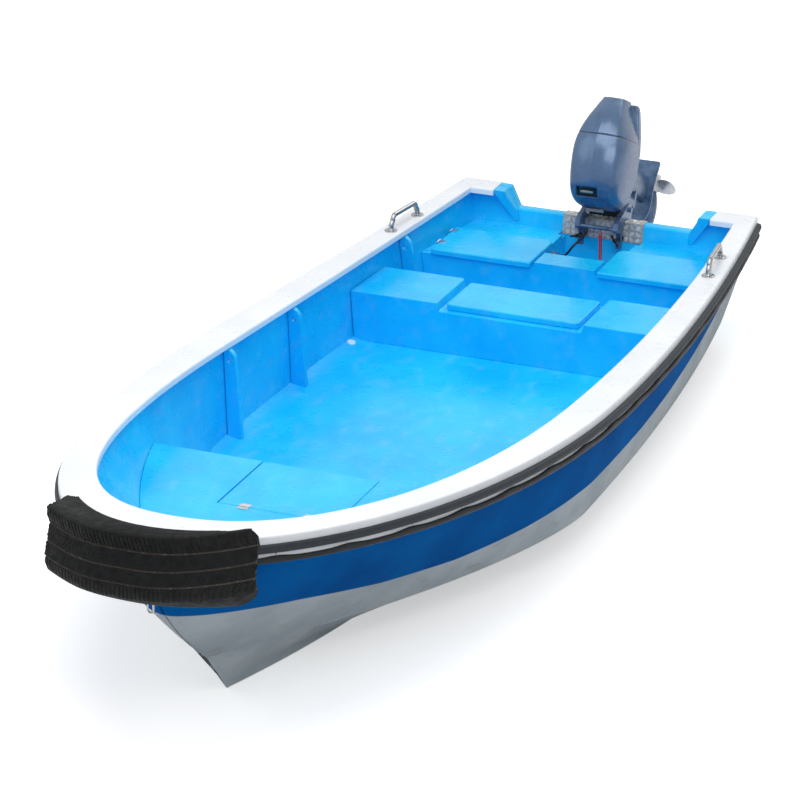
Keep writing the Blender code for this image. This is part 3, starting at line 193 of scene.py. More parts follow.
def motor_point(x, a, u):
    """From the motor's own frame, across, aft and up, to the boat's."""
    x, a, u = np.broadcast_arrays(np.asarray(x, float), np.asarray(a, float), np.asarray(u, float))
    y = TILT[1] + a * math.cos(TILT_REST) - u * math.sin(TILT_REST)
    z = TILT[2] + a * math.sin(TILT_REST) + u * math.cos(TILT_REST)
    return np.stack([x, y, z], axis=-1)


def parabola(stern, middle, bow):
    """Terms in y squared and y of the parabola through heights at the stern, at y 0 and at the stem."""
    first, second = (stern - middle) / Y_STERN, (bow - middle) / RAIL_LINE[3]
    curve = (first - second) / (Y_STERN - RAIL_LINE[3])
    return curve, first - curve * Y_STERN


def through_three(heights, y):
    """Height at y on the parabola through three heights."""
    curve, slope = parabola(*heights)
    return heights[1] + slope * y + curve * y * y


def sheer_height(y):
    """Height of the coaming's top."""
    return through_three(SHEER, y)


def bow_line(line, turn):
    """Half breadth and y of a long line where a ring fans out round the bow by an angle from abeam."""
    wide, _, _, y_bow, ahead, rounding = line
    half = wide * np.clip(np.cos(turn), 0, 1) ** (2 / rounding)
    return half, Y_WIDE - (Y_WIDE - y_bow) * np.sin(turn) ** (2 / ahead)


def aft_line(line, y):
    """Half breadth of a long line aft of the widest place."""
    wide, stern, power = line[:3]
    return wide - (wide - stern) * np.clip((y - Y_WIDE) / (Y_STERN - Y_WIDE), 0, None) ** power


def stations(y_end, aft=70, bow=100):
    """Stations of the long lines: y from the stern forward to the widest place, then turns round the bow."""
    return np.linspace(y_end, Y_WIDE, aft), np.linspace(0, math.pi / 2, bow)[1:]


def one_station(at, station):
    """The stations cut down to one."""
    aft = len(at[0])
    if station < aft:
        return at[0][station:station + 1], at[1][:0]
    return at[0][:0], at[1][station - aft:station - aft + 1]


def bow_share(at):
    """0 aft of the widest place, and the sine of the turn ahead of it."""
    return np.concatenate([np.zeros(len(at[0])), np.sin(at[1])])


def long_line(line, at):
    """Half breadth and y of a long line at all stations."""
    x_bow, y_bow = bow_line(line, at[1])
    return np.concatenate([aft_line(line, at[0]), x_bow]), np.concatenate([at[0], y_bow])


def coaming_width(at):
    """Breadth of the coaming at all stations, and the unit vector in plan that points outboard across it."""
    xe, ye = long_line(RAIL_LINE, at)
    xc, yc = long_line(COCKPIT_LINE, at)
    width = np.hypot(xe - xc, ye - yc)
    return width, as_points((xe - xc) / width, (ye - yc) / width, 0.0)


def sheer_points(inboard, down, at):
    """Points a distance inboard of the coaming's outer edge and below its top, as [station, point]."""
    xe, ye = (v[:, None] for v in long_line(RAIL_LINE, at))
    xc, yc = (v[:, None] for v in long_line(COCKPIT_LINE, at))
    share = np.atleast_1d(inboard) / np.hypot(xe - xc, ye - yc)
    height = sheer_height(ye) * (1 - share) + sheer_height(yc) * share - np.atleast_1d(down)
    return as_points(xe + (xc - xe) * share, ye + (yc - ye) * share, height)


def sheer_frame(turn):
    """Point of the coaming's outer edge at a turn from the stem, and the inboard unit vector there."""
    ring = math.pi / 2 - np.abs(turn)
    xe, ye = bow_line(RAIL_LINE, ring)
    xc, yc = bow_line(COCKPIT_LINE, ring)
    side = np.where(np.asarray(turn) < 0, -1.0, 1.0)
    outer = as_points(side * xe, ye, sheer_height(ye))
    inner = as_points(side * xc, yc, sheer_height(yc))
    flat = np.hypot(xe - xc, ye - yc)[..., None]
    return outer, (inner - outer) / flat


def mirrored(points):
    """The same points on the starboard side."""
    return points * (-1.0, 1.0, 1.0)


def leaned(points):
    """Points near the stern moved forward in proportion to their drop below the stern's sheer."""
    share = np.clip((points[..., 1] - LEAN_FROM) / (Y_STERN - TRANSOM_T - LEAN_FROM), 0, 1)
    back = (SHEER[0] - points[..., 2]) * math.tan(TRANSOM_RAKE) * share
    return points - back[..., None] * np.array((0, 1.0, 0))


def wall_points(at, levels, grow=0.0, drop=0.0):
    """The cockpit's wall: straight from the floor's edge to under the coaming, swelled outboard at the bow.

    The swell is 30 mm times 4l(1 - l), l being the share of the height, times the bow's share.
    """
    width, out = coaming_width(at)
    x, y = long_line(FLOOR_LINE, at)
    foot = as_points(x, y, FLOOR_Z - drop) + out * grow
    head = sheer_points((width - OVERHANG - grow)[:, None], COAMING_T + GAP, at)[:, 0]
    level = np.asarray(levels)[None, :, None]
    swell = 0.030 * bow_share(at)[:, None, None] * 4 * level * (1 - level)
    return foot[:, None] + (head - foot)[:, None] * level + out[:, None] * swell


def loft(name, sections, material, body="boat", sharp=35, marks=None):
    """A closed section carried along rows of points, with flat ends."""
    faces = grid_faces(*sections.shape[:2])
    return mesh_piece(name, sections, faces, material, body, sharp=sharp, marks=marks)


def stands_for(piece, *nodes):
    """The piece takes the place of CAD nodes, which are hidden."""
    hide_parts(*nodes)


def rounded(piece, width, angle):
    """Round the piece's edges that turn by more than the angle."""
    edge = piece.modifiers.new("rounding", "BEVEL")
    edge.width = width
    edge.segments = 3
    edge.limit_method = "ANGLE"
    edge.angle_limit = math.radians(angle)


def refined(node, body, rounding):
    """A CAD node's own shape, merged, its flat faces joined up, and its edges rounded by a bevel."""
    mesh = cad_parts[node].data.copy()
    work = bmesh.new()
    work.from_mesh(mesh)
    bmesh.ops.remove_doubles(work, verts=work.verts, dist=2e-5)
    bmesh.ops.dissolve_limit(work, angle_limit=math.radians(0.8), verts=work.verts, edges=work.edges)
    work.to_mesh(mesh)
    work.free()
    mesh.shade_smooth()
    mesh.set_sharp_from_angle(angle=math.radians(60))
    piece = link_object(node + "_finished", mesh)
    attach(piece, body)
    rounded(piece, rounding, 30)
    piece.modifiers.new("normals", "WEIGHTED_NORMAL").keep_sharp = True
    stands_for(piece, node)


def domes(places, normals, radius, height, sides=10):
    """Screw heads: spherical caps of three rings on their seats, each with its own normal."""
    places, normals = np.atleast_2d(places), np.atleast_2d(normals)
    across = unit(np.cross(normals, (0.31, 0.95, 0.05)))
    other = np.cross(normals, across)
    turn = np.linspace(0, 2 * math.pi, sides, endpoint=False)
    ring = np.cos(turn)[None, :, None] * across[:, None] + np.sin(turn)[None, :, None] * other[:, None]
    levels = ((1.0, -0.2), (1.0, 0.35), (0.72, 0.85), (0.01, 1.0))
    points = np.stack([places[:, None] + ring * radius * wide + normals[:, None] * height * rise
                       for wide, rise in levels], axis=1)
    return joined([(dome, grid_faces(len(levels), sides)) for dome in points])


def turned_form(centre, across, other, profile, sides):
    """A turned form: rings of (radius, rise) about the axis that stands square to two directions."""
    turn = np.linspace(0, 2 * math.pi, sides, endpoint=False)
    ring = np.cos(turn)[:, None] * across + np.sin(turn)[:, None] * other
    radii, rises = np.array(profile).T[..., None, None]
    return centre + ring * radii + np.cross(across, other) * rises, grid_faces(len(profile), sides)


# Materials

def linear(code):
    """An sRGB hex colour as linear RGBA."""
    parts = [int(code[i:i + 2], 16) / 255 for i in (0, 2, 4)]
    return [c / 12.92 if c <= 0.04045 else ((c + 0.055) / 1.055) ** 2.4 for c in parts] + [1.0]


def put(tree, kind, settings=(), **links):
    """Add a node with its settings, and link or set its inputs: each value is a socket or a constant.

    The settings may be its operation alone. An input is named by its name, or by i and its number.
    """
    node = tree.nodes.new("ShaderNode" + kind)
    for name, value in dict({"operation": settings} if isinstance(settings, str) else settings).items():
        setattr(node, name, value)
    for name, value in links.items():
        key = int(name[1:]) if name[0] == "i" and name[1:].isdigit() else name.replace("_", " ")
        socket = node.inputs[key]
        if isinstance(value, bpy.types.NodeSocket):
            tree.links.new(value, socket)
        else:
            socket.default_value = value
    return node


def new_material(name, **constants):
    """A material with its Principled shader, whose sockets take the constants."""
    made = bpy.data.materials.new(name)
    made.use_nodes = True
    shader = made.node_tree.nodes["Principled BSDF"]
    for key, value in constants.items():
        shader.inputs[key.replace("_", " ")].default_value = value
    return made, made.node_tree, shader


def ramp(tree, fac, stops):
    """A colour ramp: stops are (place, hex colour or grey)."""
    node = put(tree, "ValToRGB", Fac=fac)
    points = node.color_ramp.elements
    while len(points) < len(stops):
        points.new(0.5)
    for point, (place, colour) in zip(points, stops):
        point.position = place
        point.color = linear(colour) if isinstance(colour, str) else (colour, colour, colour, 1)
    return node.outputs["Color"]


def blend_colours(tree, fac, low, high):
    """Mix two colours."""
    node = put(tree, "Mix", {"data_type": "RGBA"}, Factor=fac)
    for socket, value in ((node.inputs[6], low), (node.inputs[7], high)):
        if isinstance(value, bpy.types.NodeSocket):
            tree.links.new(value, socket)
        else:
            socket.default_value = linear(value)
    return node.outputs[2]


def place(tree):
    """The Object coordinates, in metres."""
    return put(tree, "TexCoord").outputs["Object"]


def noise(tree, where, size, detail=3.0, roughness=0.55, stretch=None):
    """Noise whose features are about the given size in metres, stretched along an axis where asked."""
    if stretch:
        where = put(tree, "Mapping", Vector=where, Scale=stretch).outputs["Vector"]
    node = put(tree, "TexNoise", Vector=where, Scale=1 / size, Detail=detail, Roughness=roughness)
    return node.outputs["Fac"]


def dress(tree, shader, colour, gloss, low, high, height, depth, strength):
    """Link the colour, a roughness between two values that follows a noise, and a bump of a real depth."""
    tree.links.new(colour, shader.inputs["Base Color"])
    rough = put(tree, "MapRange", Value=gloss, i1=0.3, i2=0.7, i3=low, i4=high)
    tree.links.new(rough.outputs[0], shader.inputs["Roughness"])
    node = put(tree, "Bump", Height=height, Distance=depth, Strength=strength)
    tree.links.new(node.outputs["Normal"], shader.inputs["Normal"])


def gelcoat(name, lit, shade, wear="BFD9EA", grime=0.10, painted_cove_highlight=False):
    """Sprayed gelcoat on hand-laid fibreglass: glossy, slightly wavy, with scuffs and a film of dirt.

    On the liner, a paler low band along the foot of the floor's cove is a painted highlight, where the cove
    turns up to the light.
    """
    made, tree, shader = new_material(name, Specular_IOR_Level=0.25, Coat_Weight=0.08, Coat_Roughness=0.12)
    where = place(tree)
    clouds = noise(tree, where, 0.35, 4)
    colour = blend_colours(tree, ramp(tree, clouds, ((0.35, 0.0), (0.65, 1.0))), shade, lit)
    if painted_cove_highlight:
        # Painted highlight: a paler band low on the cove, where it turns up to the light
        height = put(tree, "SeparateXYZ", Vector=where).outputs[2]
        above = put(tree, "MapRange", Value=height, i1=0.2263, i2=0.233).outputs[0]
        below = put(tree, "MapRange", Value=height, i1=0.238, i2=0.244, i3=1.0, i4=0.0).outputs[0]
        band = put(tree, "Math", "MULTIPLY", i0=above, i1=below).outputs[0]
        faint = put(tree, "Math", "MULTIPLY", i0=band, i1=0.35).outputs[0]
        colour = blend_colours(tree, faint, colour, "5CC8F4")
    scuffs = ramp(tree, noise(tree, where, 0.06, 4, 0.5, (1, 0.5, 1)), ((0.52, 0.0), (0.80, 1.0)))
    faint = put(tree, "Math", "MULTIPLY", i0=scuffs, i1=grime).outputs[0]
    colour = blend_colours(tree, faint, colour, wear)
    waves = noise(tree, where, 0.15, 1, 0.4)
    dress(tree, shader, colour, noise(tree, where, 0.08, 5), 0.22, 0.38, waves, 0.0012, 0.25)
    return made


def tyre_rubber():
    """Vulcanised rubber of an old tyre: matt black, greyed by wear, with dust in its grooves."""
    made, tree, shader = new_material("tyre_rubber", Specular_IOR_Level=0.15)
    where = place(tree)
    shades = ((0.35, "040608"), (0.60, "0A0E12"), (0.82, "171B20"))
    worn = ramp(tree, noise(tree, where, 0.05, 8, 0.65), shades)
    dust = ramp(tree, noise(tree, where, 0.015, 6, 0.7), ((0.55, 0.0), (0.85, 1.0)))
    sunk = put(tree, "Attribute", {"attribute_name": "sunk"}).outputs["Fac"]
    held = put(tree, "MapRange", Value=sunk, i1=0.3, i2=1.0, i3=0.05, i4=0.95).outputs[0]
    film = put(tree, "Math", "ADD", i0=dust, i1=0.25).outputs[0]
    faint = put(tree, "Math", {"operation": "MULTIPLY", "use_clamp": True}, i0=film, i1=held)
    colour = blend_colours(tree, faint.outputs[0], worn, "B0AA9E")
    grain = noise(tree, where, 0.004, 5, 0.7)
    dress(tree, shader, colour, noise(tree, where, 0.03, 4), 0.55, 0.85, grain, 0.0006, 0.6)
    return made


def plain(name, colour, dark, roughness, metallic=0.0, size=0.02, spread=0.08):
    """A finish with a little variation in colour and gloss at a real size."""
    made, tree, shader = new_material(name, Metallic=metallic, Specular_IOR_Level=0.5 if metallic else 0.25)
    where = place(tree)
    mottle = noise(tree, where, size, 6, 0.6)
    shades = ramp(tree, mottle, ((0.30, dark), (0.70, colour)))
    dress(tree, shader, shades, mottle, roughness - spread, roughness + spread, mottle, 0.0003, 0.3)
    return made


def hull_gelcoat():
    """Two-colour hull: blue topsides over a pale grey bottom, parted by a boot line that rises at the ends.

    The bottom carries faint brown stains. A brighter blue strip just under the lower rail is a painted
    highlight, where the hull's edge turns up to the light.
    """
    made, tree, shader = new_material("hull_gelcoat", Specular_IOR_Level=0.0, Coat_Weight=0.03,
                                      Coat_Roughness=0.15)
    where = place(tree)
    parts = put(tree, "SeparateXYZ", Vector=where)
    along, height = parts.outputs[1], parts.outputs[2]
    first, last = -2.8, 2.6
    share = put(tree, "MapRange", Value=along, i1=first, i2=last).outputs[0]
    boot = ((-2.43, 0.553), (-2.0, 0.488), (-1.6, 0.408), (-1.2, 0.362), (-0.8, 0.354), (-0.4, 0.360),
            (0.0, 0.352), (0.4, 0.344), (0.8, 0.352), (1.2, 0.374), (1.7, 0.420), (2.45, 0.475))
    line = ramp(tree, share, [((y - first) / (last - first), z) for y, z in boot])
    over = put(tree, "Math", "SUBTRACT", i0=height, i1=line).outputs[0]
    above = put(tree, "MapRange", Value=over, i1=-0.002, i2=0.002).outputs[0]
    square = put(tree, "Math", "MULTIPLY", i0=along, i1=along).outputs[0]
    curve, slope = parabola(*SHEER)
    bend = put(tree, "Math", "MULTIPLY_ADD", i0=square, i1=curve, i2=SHEER[1]).outputs[0]
    sheer = put(tree, "Math", "MULTIPLY_ADD", i0=along, i1=slope, i2=bend).outputs[0]
    drop = put(tree, "Math", "SUBTRACT", i0=sheer, i1=height).outputs[0]
    # Painted highlight: a brighter blue strip 127 to 131 mm under the sheer, where the edge catches light
    # from above
    painted_highlight_strip = put(tree, "MapRange", Value=drop, i1=0.127, i2=0.131, i3=1.0, i4=0.0).outputs[0]
    clouds = noise(tree, where, 0.4, 4)
    blue = ramp(tree, clouds, ((0.35, "0060B2"), (0.65, "0072C8")))
    blue = blend_colours(tree, painted_highlight_strip, blue, "0E86E4")
    pale = ramp(tree, noise(tree, where, 0.25, 5), ((0.35, "C6D2D8"), (0.65, "DCE5EA")))
    stains = ramp(tree, noise(tree, where, 0.09, 6, 0.65, (1, 0.5, 1.6)), ((0.58, 0.0), (0.78, 0.45)))
    pale = blend_colours(tree, stains, pale, "A89C86")
    colour = blend_colours(tree, above, pale, blue)
    waves = noise(tree, where, 0.15, 2)
    dress(tree, shader, colour, noise(tree, where, 0.08, 5), 0.22, 0.42, waves, 0.0015, 0.35)
    return made


def cowl_enamel():
    """Sprayed slate-blue metallic enamel, with a thin mauve stripe along each side of the crown.

    The stripe follows a curve of height over the place along the cowl, in the motor's own frame. The cowl's
    dents are painted near black by their depth, as shade.
    """
    made, tree, shader = new_material("cowl_enamel", Metallic=0.25, Coat_Weight=0.4, Coat_Roughness=0.12)
    where = place(tree)
    off = put(tree, "VectorMath", "SUBTRACT", i0=where, i1=TILT.tolist()).outputs[0]
    parts = put(tree, "SeparateXYZ", Vector=off)
    sides = []
    cosine, sine = math.cos(TILT_REST), math.sin(TILT_REST)
    for from_y, from_z in ((cosine, sine), (-sine, cosine)):
        part = put(tree, "Math", "MULTIPLY", i0=parts.outputs[1], i1=from_y).outputs[0]
        sides.append(put(tree, "Math", "MULTIPLY_ADD", i0=parts.outputs[2], i1=from_z, i2=part).outputs[0])
    share = put(tree, "MapRange", Value=sides[0], i1=0.10, i2=0.46).outputs[0]
    curve = ((0.119, 0.198), (0.155, 0.195), (0.231, 0.181), (0.308, 0.162), (0.386, 0.125), (0.449, 0.125))
    middle = ramp(tree, share, [((a - 0.10) / 0.36, u) for a, u in curve])
    gap = put(tree, "Math", "SUBTRACT", i0=sides[1], i1=middle).outputs[0]
    gap = put(tree, "Math", "ABSOLUTE", i0=gap).outputs[0]
    mask = put(tree, "MapRange", Value=gap, i1=0.0025, i2=0.0038, i3=1.0, i4=0.0).outputs[0]
    inside = put(tree, "Math", "COMPARE", i0=sides[0], i1=0.285, i2=0.166).outputs[0]
    mask = put(tree, "Math", "MULTIPLY", i0=mask, i1=inside).outputs[0]
    colour = ramp(tree, noise(tree, where, 0.08, 4), ((0.3, "3E5B7D"), (0.7, "4A688B")))
    stripe = ramp(tree, share, ((0.0, "5A1420"), (0.5, "B0586C")))
    colour = blend_colours(tree, mask, colour, stripe)
    # Painted shade: the starter's recess and the groove are darkened to near black by their depth
    recess_shade = put(tree, "Attribute", {"attribute_name": "recess_shade"}).outputs["Fac"]
    painted_shade = put(tree, "MapRange", Value=recess_shade, i1=0.35, i2=0.75).outputs[0]
    colour = blend_colours(tree, painted_shade, colour, "07090C")
    orange_peel = noise(tree, where, 0.05, 3)
    dress(tree, shader, colour, noise(tree, where, 0.03, 5), 0.22, 0.34, orange_peel, 0.0004, 0.3)
    return made


AZURE_GELCOAT = gelcoat("azure_gelcoat", "20CBFF", "08BAF8")
WHITE_GELCOAT = gelcoat("white_gelcoat", "F4F7FB", "E9EEF4", wear="DADCDB", grime=0.12)
HULL_GELCOAT = hull_gelcoat()
# The liner's gelcoat carries a painted highlight along the foot of the cove
LINER_GELCOAT = gelcoat("liner_gelcoat", "20CBFF", "08BAF8", grime=0.14, painted_cove_highlight=True)
COWL_ENAMEL = cowl_enamel()
TYRE_RUBBER = tyre_rubber()
RAIL_RUBBER = plain("extruded_rubber", "343A40", "23282D", 0.6)
BLACK_RUBBER = plain("black_rubber", "1B1D20", "101214", 0.55)
STAINLESS = plain("polished_stainless", "A9ABAC", "8A8C8E", 0.2, 1.0, 0.01, 0.06)
ALUMINIUM = plain("mill_aluminium", "C4C3BF", "8C8B88", 0.50, 0.45)
WORN_ALUMINIUM = plain("worn_aluminium", "FFFFFD", "E4E4E2", 0.40, 0.35, 0.01)
SLATE_PAINT = plain("slate_enamel", "607C9C", "3E5472", 0.30, 0.3, 0.05, 0.05)
BRIGHT_STEEL = plain("hinge_steel", "DCDDDD", "C2C3C4", 0.25, 1.0, 0.01, 0.06)
BLACK_PLASTIC = plain("black_plastic", "17181A", "0E0F10", 0.45)
GREY_PLASTIC = plain("grey_plastic", "8B8E92", "7B7E82", 0.45)
RED_CORD = plain("red_polyurethane", "D8102C", "B40C22", 0.35)
BARE_METAL = plain("cast_aluminium", "C2C5C9", "A0A3A8", 0.35, 1.0, 0.02, 0.1)

FINISHES = {
    AZURE_GELCOAT: ("cockpit_liner", "transom", "knee_port", "knee_starboard", "mid_thwart", "mid_lid",
                    "aft_bench", "aft_lid_port", "aft_lid_starboard", "forward_locker", "forward_hatch",
                    *RIBS),
    WHITE_GELCOAT: ("gunwale_coaming", "drain_plug"),
    HULL_GELCOAT: ("hull",),
    TYRE_RUBBER: ("tyre_fender",),
    RAIL_RUBBER: ("rubbing_rail",),
    BLACK_RUBBER: ("lower_rail", "fuel_hose"),
    BRIGHT_STEEL: LID_HINGES + HATCH_HINGES,
    STAINLESS: ("grab_handle_port", "grab_handle_starboard", "bow_eye"),
    ALUMINIUM: ("chequer_plate",),
    SLATE_PAINT: ("clamp_bracket", "swivel_bracket", "mid_section", "gearcase", "lower_cowl", "top_cowl"),
    BLACK_PLASTIC: ("clamp_screw_port", "clamp_screw_starboard", "powerhead", "stop_switch",
                    "fuel_connector"),
    GREY_PLASTIC: ("hose_fitting", "starter_handle"),
    RED_CORD: ("stop_lanyard", "lanyard_clip"),
    BARE_METAL: ("propeller",),
}
for finish, nodes in FINISHES.items():
    for node in nodes:
        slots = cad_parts[node].data.materials
        slots.clear()
        slots.append(finish)


# The camera, fitted to the photograph

CAMERA_PLACE = (5.831, -13.833, 6.837)
CAMERA_ANGLES = (23.11, 22.95, -0.35)       # azimuth, elevation and roll in degrees
CAMERA_LENS = 168.8                         # mm, on a sensor 36 mm wide


def set_camera():
    """A long lens off the port bow, with a third of a degree of roll."""
    azimuth, elevation, roll = (math.radians(angle) for angle in CAMERA_ANGLES)
    forward = np.array((-math.sin(azimuth) * math.cos(elevation), math.cos(azimuth) * math.cos(elevation),
                        -math.sin(elevation)))
    right = unit(np.cross(forward, (0, 0, 1)))
    up = np.cross(right, forward)
    turned = right * math.cos(roll) + up * math.sin(roll)
    upward = up * math.cos(roll) - right * math.sin(roll)
    view = bpy.data.cameras.new("camera")
    view.lens = CAMERA_LENS
    view.sensor_width = 36
    view.clip_end = 200
    made = link_object("camera", view)
    made.matrix_world = placed(turned, upward, -forward, CAMERA_PLACE)
    bpy.context.scene.camera = made


set_camera()


# Cords

def hang(name, node, path, radius, material, sides):
    """A cord: a circle carried along its line. It takes the place of the CAD's cord."""
    verts, faces = tube_mesh(path, radius, sides)
    cord = mesh_piece(name, verts, faces, material, "boat")
    stands_for(cord, node)


BAR_Z, BAR_R = 0.496, 0.010         # the clamp's cross bar
BAR_Y = Y_STERN - TRANSOM_T - 0.095 - (SHEER[0] - BAR_Z) * math.tan(TRANSOM_RAKE)
DOWN = np.array((0.0, -0.5, -1.0)) / math.sqrt(1.25)


def fuel_line():
    """Fuel hose: one smooth curve through the same points as in the CAD."""
    start = np.array((-0.052, BAR_Y, BAR_Z)) + DOWN * (BAR_R + GAP + 0.018 + 0.0006)
    end = np.array((GAP - 0.190 + 0.0176, 2.185, 0.366))
    middle = (start + end) / 2
    route = smooth_curve((start, start + DOWN * 0.012, middle + (0.022, -0.026, -0.002),
                          end + (0.046, 0.004, 0.003), end + (0.012, 0, 0), end), 60)
    hang("hose_line", "fuel_hose", route, 0.0055, BLACK_RUBBER, 12)


def lanyard():
    """Stop lanyard: a helix of small cord about the CAD tube's line.

    At its ends the radius grows from nothing before the turning sets in, so that no bend is tight.
    """
    top = np.array((0.020, BAR_Y, BAR_Z - BAR_R - GAP))
    low = top + np.array((0, -0.038, -1.0)) * 0.180
    turns = 22
    t = np.linspace(0, 1, 26 * 18)
    end = np.minimum(t, 1 - t)
    eased = [np.clip(part, 0, 1) for part in (end / 0.14, (end - 0.05) / 0.12)]
    out, rate = (part * part * (3 - 2 * part) for part in eased)
    radius = 0.0078 * out
    angle = 2 * math.pi * turns * np.cumsum(rate) / rate.sum()
    across = np.array((1.0, 0, 0))
    other = np.cross(unit(low - top), across)
    ring = np.cos(angle)[:, None] * across + np.sin(angle)[:, None] * other
    path = top + (low - top) * t[:, None] + radius[:, None] * ring
    hang("lanyard_coil", "stop_lanyard", path, 0.0017, RED_CORD, 8)


fuel_line()
lanyard()


# The mouldings

def hull_shell():
    """Hull: sections hung between the long lines, carried from the stern round to the stem.

    From the top of the side down to the chine a section is a straight line swelled by 4l(1 - l): abeam
    by 12 mm outboard, and towards the stem by 85 mm forward. Then come the chine's flat, the wall down
    to the keel pad's step and the pad. The inside is the cockpit's wall, a little further out.
    """
    at = stations(Y_STERN - TRANSOM_T - GAP)
    share = bow_share(at)[:, None]
    top = sheer_points((FLANGE_T + GAP + 0.004 * share ** 8), COAMING_T + GAP, at)[:, 0]
    cx, cy = long_line(CHINE_LINE, at)
    chine = as_points(cx, cy, through_three(CHINE, cy))
    level = np.linspace(1, 0, 15)[None, :]
    swell = 4 * level * (1 - level)
    side = chine[:, None] + (top - chine)[:, None] * level[..., None]
    side[..., 1] -= 0.085 * swell * share ** 3
    side[..., 0] += 0.012 * swell * (1 - share)
    inner = chine - as_points(0.022 * (1 - share[:, 0]), 0.0, 0.003 * (1 - share[:, 0]))
    px, py = long_line(PAD_LINE, at)
    step = as_points(px + 0.014 * (1 - share[:, 0]), py - 0.035 * share[:, 0], 0.040)
    outer = np.concatenate([side, inner[:, None], step[:, None], as_points(px, py, 0.0)[:, None]], axis=1)
    outer[..., 0] = np.maximum(outer[..., 0], STEM_HALF)
    wall = wall_points(at, (0.0, 0.5, 1.0), LINER_T + GAP, LINER_T + GAP)
    wall[-1, :, 0] = 0.0
    loop = np.concatenate([mirrored(outer), outer[:, ::-1], wall[:, ::-1], mirrored(wall)], axis=1)
    stands_for(loft("hull_shell", leaned(loop), HULL_GELCOAT), "hull")


def cockpit_shell():
    """Cockpit: the wall's line, then a cove that falls by the square of the distance, then the flat floor."""
    at = stations(Y_STERN - TRANSOM_T - GAP)
    _, out = coaming_width(at)
    skins = []
    for grow in (0.0, LINER_T):
        wall = wall_points(at, np.linspace(1, 0, 9), grow, grow)
        share = np.linspace(0, 1, 8)[1:]
        cove = wall[:, -1:] - out[:, None] * (share * 0.095)[None, :, None]
        floor = np.concatenate([wall, cove], axis=1)
        rise = 0.013 * np.concatenate([np.zeros(8), (1 - np.concatenate([[0], share])) ** 2])
        floor[..., 2] += rise
        floor[:, :, 0] = np.maximum(floor[:, :, 0], 0.0)
        floor[-1, :, 0] = 0.0
        skins.append(np.concatenate([floor, mirrored(floor[:, ::-1])], axis=1))
    loop = np.concatenate([skins[0], skins[1][:, ::-1]], axis=1)
    stands_for(loft("cockpit_shell", leaned(loop), LINER_GELCOAT, sharp=50), "cockpit_liner")


def cap_table(width, mitre):
    """The coaming's section as (inboard, down): a round-edged plate with its outer flange turned down."""
    turn = np.linspace(0, math.pi / 2, 7)
    edge = 0.010
    top_in = np.concatenate([edge * (1 - np.cos(turn)), width - edge + edge * np.sin(turn)])
    top_down = np.concatenate([edge * (1 - np.sin(turn)), edge * (1 - np.cos(turn))])
    inboard = np.concatenate([[0.0], top_in, [width, FLANGE_T * mitre, FLANGE_T * mitre]])
    down = np.concatenate([[FLANGE_H], top_down, [COAMING_T, COAMING_T, FLANGE_H]])
    return inboard, down


def coaming_cap():
    """Coaming: its section carried from the starboard wing round the bow to the port wing.

    At each stern corner the section stands on the mitre, and each wing's section runs across the stern.
    """
    y_outer, y_inner = Y_STERN + FLANGE_T + GAP, Y_STERN - WING_DEPTH
    stern_x, inner_x = aft_line(RAIL_LINE, y_outer), aft_line(COCKPIT_LINE, y_inner)
    rows = []
    for x_out, x_in in ((WING_END, WING_END), (stern_x, inner_x)):
        outer, inner = np.array((x_out, y_outer, SHEER[0])), np.array((x_in, y_inner, SHEER[0]))
        width = np.linalg.norm(inner - outer)
        inboard, down = cap_table(width, width / (y_outer - y_inner))
        fall = down[:, None] * np.array((0, 0, 1.0))
        rows.append(outer + (inner - outer) / width * inboard[:, None] - fall)
    at = stations(2.22)
    for station, width in enumerate(coaming_width(at)[0]):
        inboard, down = cap_table(width, 1.0)
        rows.append(sheer_points(inboard, down, one_station(at, station))[0])
    port = np.array(rows)
    loop = np.concatenate([port, mirrored(port[-2::-1])])
    stands_for(loft("coaming_cap", loop, WHITE_GELCOAT), "gunwale_coaming")


def along_edge(inboard, down):
    """Sections along the coaming's outer edge, from port stern to starboard stern, as [station, point]."""
    at = stations(Y_STERN, 130, 170)
    count = len(at[0]) + len(at[1])
    inboard, down = (np.broadcast_to(v, (count, np.shape(v)[-1])) for v in (inboard, down))
    port = sheer_points(inboard, down, at)
    return np.concatenate([port, mirrored(port[-2::-1])])


def edge_length():
    """Length along the coaming's outer edge at each station, from the stern."""
    x, y = long_line(RAIL_LINE, stations(Y_STERN, 130, 170))
    return np.concatenate([[0], np.cumsum(np.hypot(np.diff(x), np.diff(y)))])


